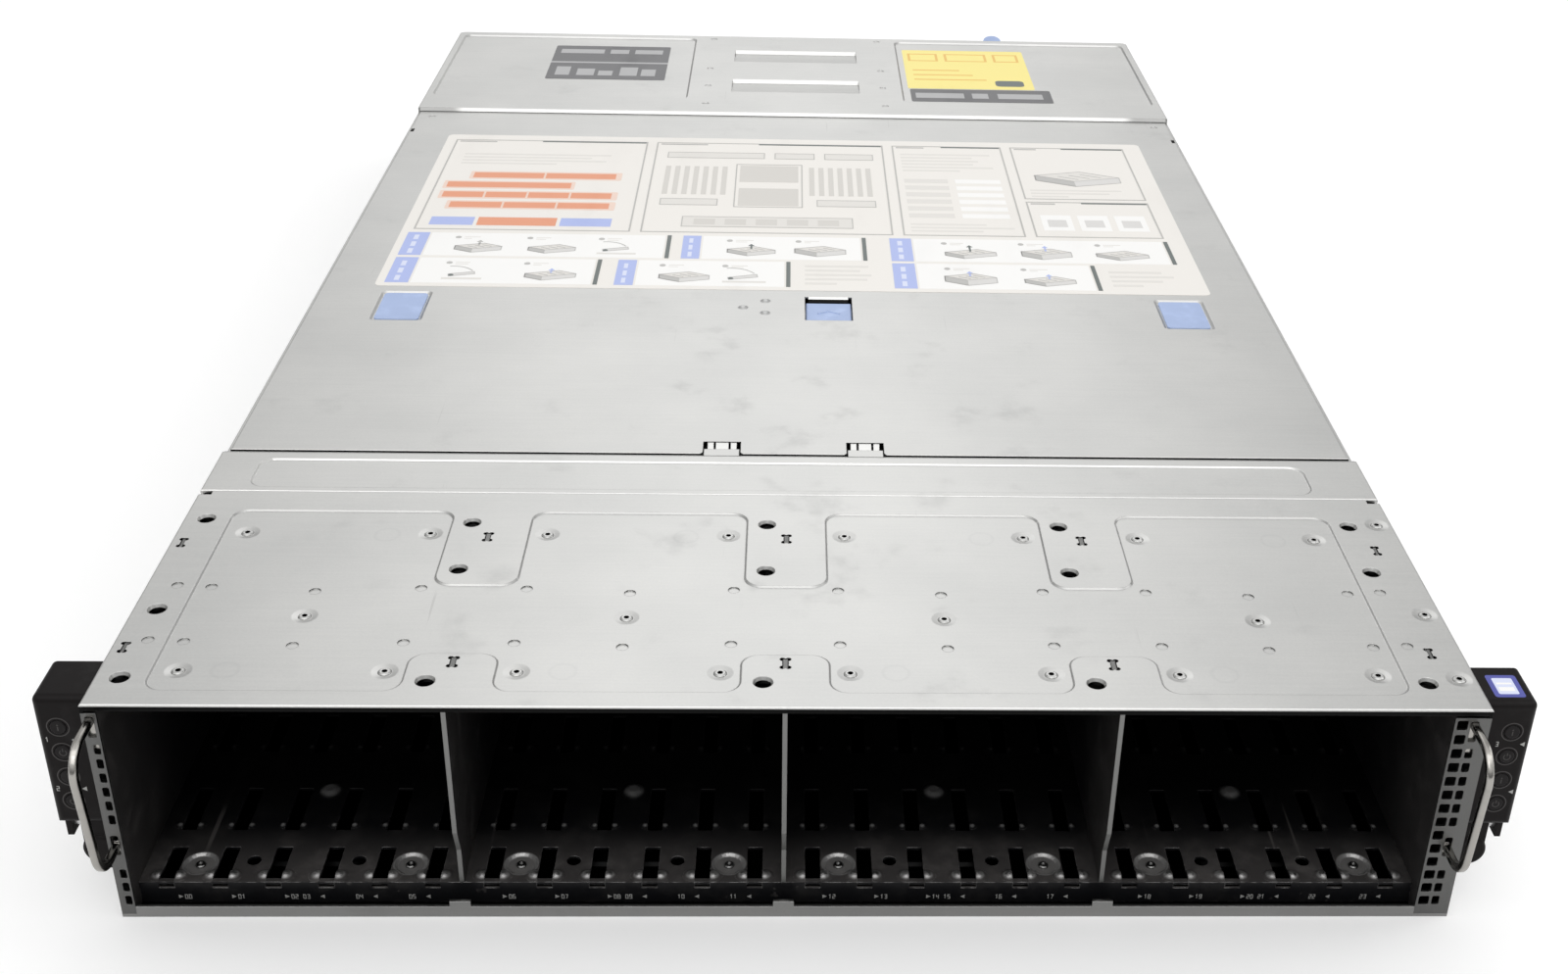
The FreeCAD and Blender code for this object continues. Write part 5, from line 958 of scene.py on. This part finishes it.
def portFront(art, x, y, width, height, jack):
    art.raised(0.4).frame(x + 0.45, y + 0.45, width - 0.9, height - 0.9, 0.9, "tin")
    art.raised(0.06).bar(x + 0.9, y + 0.9, width - 1.8, height - 1.8, "socket")
    if not jack:
        art.raised(0.28).bar(x + 2.2, y + height * 0.42, width - 4.4, height * 0.2, "tongue")
        return
    for i in range(8):
        art.raised(0.14).bar(x + width / 2 - 4.0 + i * 1.06, y + height - 5.4, 0.5, 2.6, "gold")
    art.raised(0.3).bar(x + width / 2 - 2.6, y + 0.9, 5.2, 1.5, "tin")
    art.raised(0.34).panel(x + 1.5, y + height - 3.3, 2.4, 1.7, 0.3, "greenLens")
    art.raised(0.34).panel(x + width - 3.9, y + height - 3.3, 2.4, 1.7, 0.3, "amberLens")


def rearDetails(art, look, left=0, middle=0, right=0):  # lamps, a tag and screws
    for (x, y), ink in zip(look["lamps"], lampInks):
        art.lens(-(middle + x), y, look["lamp"], ink)
    x, y, width, height = look["tag"]
    art.tag(-(middle + x + width), y, width, height, *look["tagBars"])
    for x, y in look["screws"]:
        art.screw(-(left + x) if x > 0 else -(right + x), y, look["screw"], "tin")


def sledFittings():
    gap = sledRear["gap"]
    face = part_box("sled_bay_frame")[1].y  # the rear panels end with the frame
    names = ["tin", "socket", "gold", "tongue", "greenLens", "amberLens", "white", "grey"]
    for sled in sleds:
        low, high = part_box(sled + "_tray")
        left, right = low.x / mm, high.x / mm
        middle = (left + right) / 2
        art = Fitting(sled + "_ports", names, (0, face - sledRear["sunk"] * mm, low.z), *rearFacing)
        for jack, ports in ((True, sledRear["jacks"]), (False, sledRear["sockets"])):
            for x, width, height in ports:
                start = -(left + x + width) + gap
                portFront(art, start, sledRear["low"] + gap, width - 2 * gap, height - 2 * gap, jack)
        inside, outside, cardLow, cardTall = sledRear["card"]
        run = right - middle - inside - outside
        area = (-(middle + inside + run) + gap, cardLow + gap, run - 2 * gap, cardTall - 2 * gap)
        art.raised(0.25, -0.35).slotted(*area, *sledRear["slots"], "tin")
        art.corner += art.out * sledRear["sunk"] * mm
        rearDetails(art, sledRear, left, middle, right)
        art.build(sled)


def supplyFittings():
    edge = supplyRear["bezel"]
    for level in ("lower", "upper"):
        name = level + "_power_supply"
        art = Fitting(name + "_bezel", ["bezel", "greenLens", "amberLens", "tin", "white", "grey"],
                      (0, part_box("sled_bay_frame")[1].y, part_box(name)[0].z), *rearFacing)
        x, width, y, height = supplyRear["inlet"]
        area = (-(x + width) - edge, y - edge, width + 2 * edge, height + 2 * edge)
        art.raised(0.7).frame(*area, 1.6, "bezel")
        rearDetails(art, supplyRear)
        art.build(name)


def wallRivets():
    radius, crown = sideRivets["radius"], sideRivets["crown"]
    for side, name in ((-1, "left"), (1, "right")):
        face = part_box("floor_pan")[1].x * side
        art = Fitting(name + "_side_rivets", ["tin"], (face, frontY, 0), (0, side, 0), (0, 0, 1))
        for i in range(sideRivets["count"]):
            for z in sideRivets["heights"]:
                place = side * (sideRivets["first"] + i * sideRivets["pitch"])
                art.turned(place, z, ((radius, -0.02), (radius * 0.92, crown * 0.6), (radius * 0.6, crown),
                                      (radius * 0.3, crown), (radius * 0.24, crown * 0.3)), "tin")
        art.build("chassis")


# Small parts on the sleds' boards
inks.update({
    "chip": mouldedPlastic("chipBlack", (0.010, 0.010, 0.011), 0.45),
    "choke": mouldedPlastic("chokeGrey", (0.07, 0.07, 0.075)),
    "can": brightPlate("canMetal", (0.62, 0.62, 0.62), 0.3),
    "ceramic": mouldedPlastic("ceramicTan", (0.33, 0.22, 0.12)),
})
boardLook = {  # mm from the board's middle and behind the front edge
    "thick": 1.6, "seed": 31, "count": 170,
    "inks": ["chip", "choke", "can", "ceramic", "white", "socket", "tin"],
    "chips": ((-38.0, 612.0, 30.0, 30.0, 2.2), (-70.0, 664.0, 18.0, 18.0, 1.5),
              (-40.0, 668.0, 11.0, 14.0, 1.1), (-76.0, 704.0, 12.0, 9.0, 1.2),
              (-12.0, 700.0, 9.0, 9.0, 1.0), (-30.0, 436.0, 10.0, 14.0, 1.1)),
    "leg": (1.2, 1.2, 0.5, 0.4), "lid": 5.0,  # pitch, length, width and height of a leg; the lid's inset
    "chokes": (394.0, 574.0), "choke": (8, -41.5, 10.6, 8.6, 4.6),  # count, left, pitch, side and height
    "cans": (408.5, 588.5), "can": (11, -40.0, 8.0),
    "canShape": ((2.7, -0.02), (2.7, 5.6), (2.4, 6.0), (1.0, 6.0)),
    "sockets": ((4.0, 604.0, 24.0, 6.4), (34.0, 604.0, 14.0, 6.4)), "pin": (2.2, 2.5, 0.8, 5.0),
    "cell": (58.0, 640.0), "cellShape": ((10.0, 1.58), (10.0, 3.6), (9.5, 4.1), (3.0, 4.1)),
    "holder": (12, 4, 1.6),  # half its width, its corner and its height
    "areas": ((-43, 418, 43, 488), (-80, 602, -6, 736), (2, 614, 80, 672), (-43, 270, 43, 308)),
    "small": ((1.6, 0.8), (0.8, 1.6), (2.0, 1.25), (1.25, 2.0), (3.2, 2.6)),
}


def boardChips(art, taken):
    pitch, length, thin, low = boardLook["leg"]
    for x, y, width, height, tall in boardLook["chips"]:
        taken.append((x - 1.5, y - 1.5, x + width + 1.5, y + height + 1.5))
        art.raised(tall).panel(x, y, width, height, 0.4, "chip")
        art.raised(tall + 0.04, tall - 0.02).disc(x + 1.8, y + 1.8, 0.6, "white")
        for i in range(int(height / pitch) - 1):
            for side in (x - length, x + width):
                art.raised(low).bar(side, y + 1.0 + i * pitch, length, thin, "tin")
    x, y, width, height, tall = boardLook["chips"][0]
    lid = boardLook["lid"]
    art.raised(tall + 0.7, tall - 0.02).panel(x + lid, y + lid, width - 2 * lid, height - 2 * lid, 1.5, "can")


def boardRows(art, taken):
    count, left, pitch, side, tall = boardLook["choke"]
    for y in boardLook["chokes"]:
        for i in range(count):
            art.raised(tall).panel(left + i * pitch, y, side, side, 1.0, "choke")
    count, left, pitch = boardLook["can"]
    for y in boardLook["cans"]:
        for i in range(count):
            art.turned(left + i * pitch, y, boardLook["canShape"], "can", 16)
    inset, pitch, side, tall = boardLook["pin"]
    for x, y, width, height in boardLook["sockets"]:
        taken.append((x - 1, y - 1, x + width + 1, y + height + 1))
        art.raised(7.0).frame(x, y, width, height, 1.2, "white")
        for i in range(int(width / pitch) - 1):
            art.raised(tall).bar(x + inset + i * pitch, y + height / 2 - side / 2, side, side, "tin")
    x, y = boardLook["cell"]
    half, corner, tall = boardLook["holder"]
    taken.append((x - half - 2, y - half - 2, x + half + 2, y + half + 2))
    art.raised(tall).panel(x - half, y - half, 2 * half, 2 * half, corner, "socket")
    art.turned(x, y, boardLook["cellShape"], "can", 32)


def boardParts():
    dice = random.Random(boardLook["seed"])
    for sled in sleds:
        low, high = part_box(sled + "_board")
        corner = ((low.x + high.x) / 2, frontY, low.z + boardLook["thick"] * mm)
        art = Fitting(sled + "_board_parts", boardLook["inks"], corner)
        taken = []
        boardChips(art, taken)
        boardRows(art, taken)
        for i in range(boardLook["count"]):  # scattered where there is room
            left, front, right, back = dice.choice(boardLook["areas"])
            width, height = dice.choice(boardLook["small"])
            x = round(dice.uniform(left, right - width), 1)
            y = round(dice.uniform(front, back - height), 1)
            if any(x < c and x + width > a and y < d and y + height > b for a, b, c, d in taken):
                continue
            taken.append((x - 0.6, y - 0.6, x + width + 0.6, y + height + 0.6))
            ink = dice.choice(("ceramic", "ceramic", "chip"))
            art.raised(0.8 if width > 3 else 0.5).bar(x, y, width, height, ink)
        art.build(sled)


sledFittings()
boardParts()
supplyFittings()
wallRivets()
print("rear and side fittings made")


# The cage floor as pressed sheet: sunk screw seats, soft lifts beside each slot, a closed front edge
cagePress = {
    "slot": 2.6, "sheet": 1.0, "edge": 8.0, "beside": 3.5, "screw": 1.75,
    "seatReach": 6.2, "seatDepth": 0.55, "seatRim": 5.6, "seatWall": 0.3,
    "lifts": ((9.5, 3.2, 1.4), (35.5, 1.8, 0.8), (80.0, 1.8, 0.8)),  # station, radius and height of each row
    "sectors": 20, "rings": 6,
}


def softLift(mesh, x, y, radius, height, side):
    # a rounded lift, cut off upright where the slot beside it begins
    sectors, rings = cagePress["sectors"], cagePress["rings"]
    wall = cagePress["beside"] - cagePress["slot"]
    rows = []
    for k in range(1, rings + 1):
        row = []
        for i in range(sectors):
            turn = math.radians(360 / sectors * i)
            u, v = math.cos(turn), math.sin(turn)
            toward = -side * u
            reach = min(radius, wall / toward) if toward > 0.01 else radius
            r = reach * k / rings
            rise = height * (1 - min(1.0, r / radius) ** 2) ** 2
            row.append(mesh.verts.new(((x + r * u) * mm, station(y + r * v), cageFlat + rise * mm)))
        rows.append(row)
    rows.append([mesh.verts.new((p.co.x, p.co.y, cageFlat - 0.05 * mm)) for p in rows[-1]])
    crown = mesh.verts.new((x * mm, station(y), cageFlat + height * mm))
    for i in range(sectors):
        mesh.faces.new((crown, rows[0][i - 1], rows[0][i])).smooth = True
        for k in range(rings):
            face = mesh.faces.new((rows[k][i - 1], rows[k + 1][i - 1], rows[k + 1][i], rows[k][i]))
            face.smooth = k < rings - 1
        mesh.edges.get((rows[-2][i - 1], rows[-2][i])).smooth = False
    mesh.faces.new(rows[-1][::-1])


def sinkSeats(mesh, seats):
    # the raised cones round the screws turn into wide flat seats with steep walls, and small bumps go flat
    reach, rim = cagePress["seatReach"] * mm, cagePress["seatRim"] * mm
    for point in mesh.verts:
        rise = point.co.z - cageFlat
        if rise < 0.001 * mm:
            continue
        nearest = min(seats, key=lambda x: abs(point.co.x - x * mm))
        centre = Vector((nearest * mm, station(cage["seatStation"])))
        away = point.co.xy - centre
        if away.length < reach:
            if away.length > cagePress["screw"] * mm:
                point.co.xy = centre + away.normalized() * (rim - (rim - away.length) * cagePress["seatWall"])
            point.co.z = cageFlat - rise * cagePress["seatDepth"]
        elif abs(point.co.y - station(cage["domeStation"])) > reach:
            point.co.z = cageFlat
    bmesh.ops.remove_doubles(mesh, verts=mesh.verts[:], dist=0.001 * mm)
    bmesh.ops.dissolve_degenerate(mesh, edges=mesh.edges[:], dist=0.001 * mm)
    for face in mesh.faces:
        face.smooth = False


def pressedFloor():
    seats = [bay + s * cage["seats"] for bay in cage["bays"] for s in (-1, 1)]
    mesh = bmesh.new()
    mesh.from_mesh(nodes["cage_floor"].data)
    sinkSeats(mesh, seats)
    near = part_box("cage_floor")[0].y + 0.1 * mm
    far = station(cagePress["edge"])  # each slot starts behind a bar
    for x in drivePlaces:
        for side in (-1, 1):
            for y, radius, height in cagePress["lifts"]:
                softLift(mesh, x + side * cagePress["beside"], y, radius, height, side)
        for point in bmesh.ops.create_cube(mesh, size=1.0)["verts"]:
            u, v, w = point.co
            point.co = ((x + u * 2 * cagePress["slot"]) * mm, (near + far) / 2 + v * (far - near),
                        cageFlat + (w - 0.5) * cagePress["sheet"] * mm)
    bmesh.ops.recalc_face_normals(mesh, faces=mesh.faces[:])
    piece = meshObject("pressed_cage_floor", mesh, [finishes["cageFloor"]])
    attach(piece, "chassis")
    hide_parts("cage_floor")
    bottom = cageFlat - cage["dome"] * cagePress["seatDepth"] * mm
    art = Fitting("cage_screws", ["screwMetal"], (0, frontY, bottom))
    for x in seats:
        art.screw(x, cage["seatStation"], cagePress["screw"], "screwMetal")
    art.build("chassis")


inks["screwMetal"] = sheetSteel("screwMetal", tint=0.35, shine=0.1)
pressedFloor()
print("cage floor pressed")

# Floor, light and camera
studio = {
    "floor": (0.985, 0.985, 0.985), "sky": 0.95, "glow": (0.06, 0.06, 0.06),
    "overhead": [(0.0, 0.10), (0.13, 0.19), (0.27, 0.345), (0.4, 0.67),
                 (0.5, 0.70), (0.6, 0.67), (0.72, 0.57), (1.0, 0.44)],  # mirrored light by height
    "overheadLevel": 2.0, "sides": (0.0, 0.42, 1.32, 0.5),  # darker towards the sides
    "frontBox": (0.5, (-0.26, -0.1, 1, 0), (0.68, 0.95)),  # a brighter patch above the front
    "frontDim": (0.45, (-0.5, -0.1, 1, 0), (0.6, 0.78, 1, 0)),  # less light low in front
    "lamps": {  # place, width, height and watts
        "keyLamp": ((-0.2, -2.3, 2.1), 2.4, 1.2, 14.0),
        "sideLamp": ((2.1, 0.1, 1.5), 1.2, 1.2, 8.0),
    },
    "aim": (0, -0.1, 0.05),
}


def layFloor():
    f = newFinish("floorPaper")
    f.set({"Base Color": f.blend(f.noise(400), times(studio["floor"], 0.99), studio["floor"])})
    f.set({"Roughness": 0.9 + f.noise(5) * 0.05, "Specular IOR Level": 0.0})
    seen = f.node("ShaderNodeLightPath", {}, {}, "Is Camera Ray")
    f.set({"Emission Color": f.blend(seen, (0, 0, 0), studio["glow"]), "Emission Strength": 1.0})
    mesh = bmesh.new()
    bmesh.ops.create_grid(mesh, x_segments=1, y_segments=1, size=30)
    meshObject("floor", mesh, [f.owner])


def lightRoom():
    world = bpy.data.worlds.new("room")
    scene.world = world
    room = Finish(world, "Generated")
    overhead = room.node("ShaderNodeValToRGB", {"stops": studio["overhead"]}, {0: room.along("Z")})
    seen = room.node("ShaderNodeLightPath", {}, {}, "Is Camera Ray")
    mirrored = room.node("ShaderNodeLightPath", {}, {}, "Is Glossy Ray")

    def patch(amount, along, up):
        return room.along("Y").ramp(*along) * room.along("Z").ramp(*up) * amount

    overhead = overhead + patch(*studio["frontBox"])
    side = room.along("X").size() * room.along("Y").ramp(-0.25, 0.6)
    level = side.ramp(*studio["sides"]) * studio["overheadLevel"] * (1 - patch(*studio["frontDim"]))
    plain = seen * (1 - studio["sky"]) + studio["sky"]
    room.set({"Color": room.blend(mirrored, (1, 1, 1), overhead)})
    room.set({"Strength": plain + (level - plain) * mirrored})
    for name, (place, width, height, watts) in studio["lamps"].items():
        data = bpy.data.lights.new(name, "AREA")
        data.shape = "RECTANGLE"
        data.size = width
        data.size_y = height
        data.energy = watts
        lamp = addObject(name, data)
        lamp.location = place
        lamp.rotation_euler = (Vector(studio["aim"]) - Vector(place)).to_track_quat("-Z", "Y").to_euler()


view = {  # where the photograph was taken from: mm from the front edge, degrees, pixels
    "place": (-3.8, -482.8, 437.0), "pitch": 28.73, "yaw": -2.47, "roll": -1.68,
    "focal": 1907.3, "image": (1600, 994), "centre": (874.4, 481.4),
}


def rotation(degrees, axis):
    return Matrix.Rotation(math.radians(degrees), 4, axis)


def setCamera():
    width, height = view["image"]
    data = bpy.data.cameras.new("camera")
    data.sensor_width = 36
    data.lens = data.sensor_width * view["focal"] / width
    data.shift_x = (width / 2 - view["centre"][0]) / width
    data.shift_y = (view["centre"][1] - height / 2) / width
    data.clip_start = 0.01
    turn = rotation(view["yaw"], "Z") @ rotation(-view["pitch"], "X") @ rotation(view["roll"], "Y")
    x, y, z = view["place"]
    scene.camera = addObject("camera", data)
    scene.camera.matrix_world = Matrix.Translation((x * mm, station(y), z * mm)) @ turn @ rotation(90, "X")


layFloor()
lightRoom()
setCamera()
scene.view_settings.view_transform = "Standard"
print("studio set")
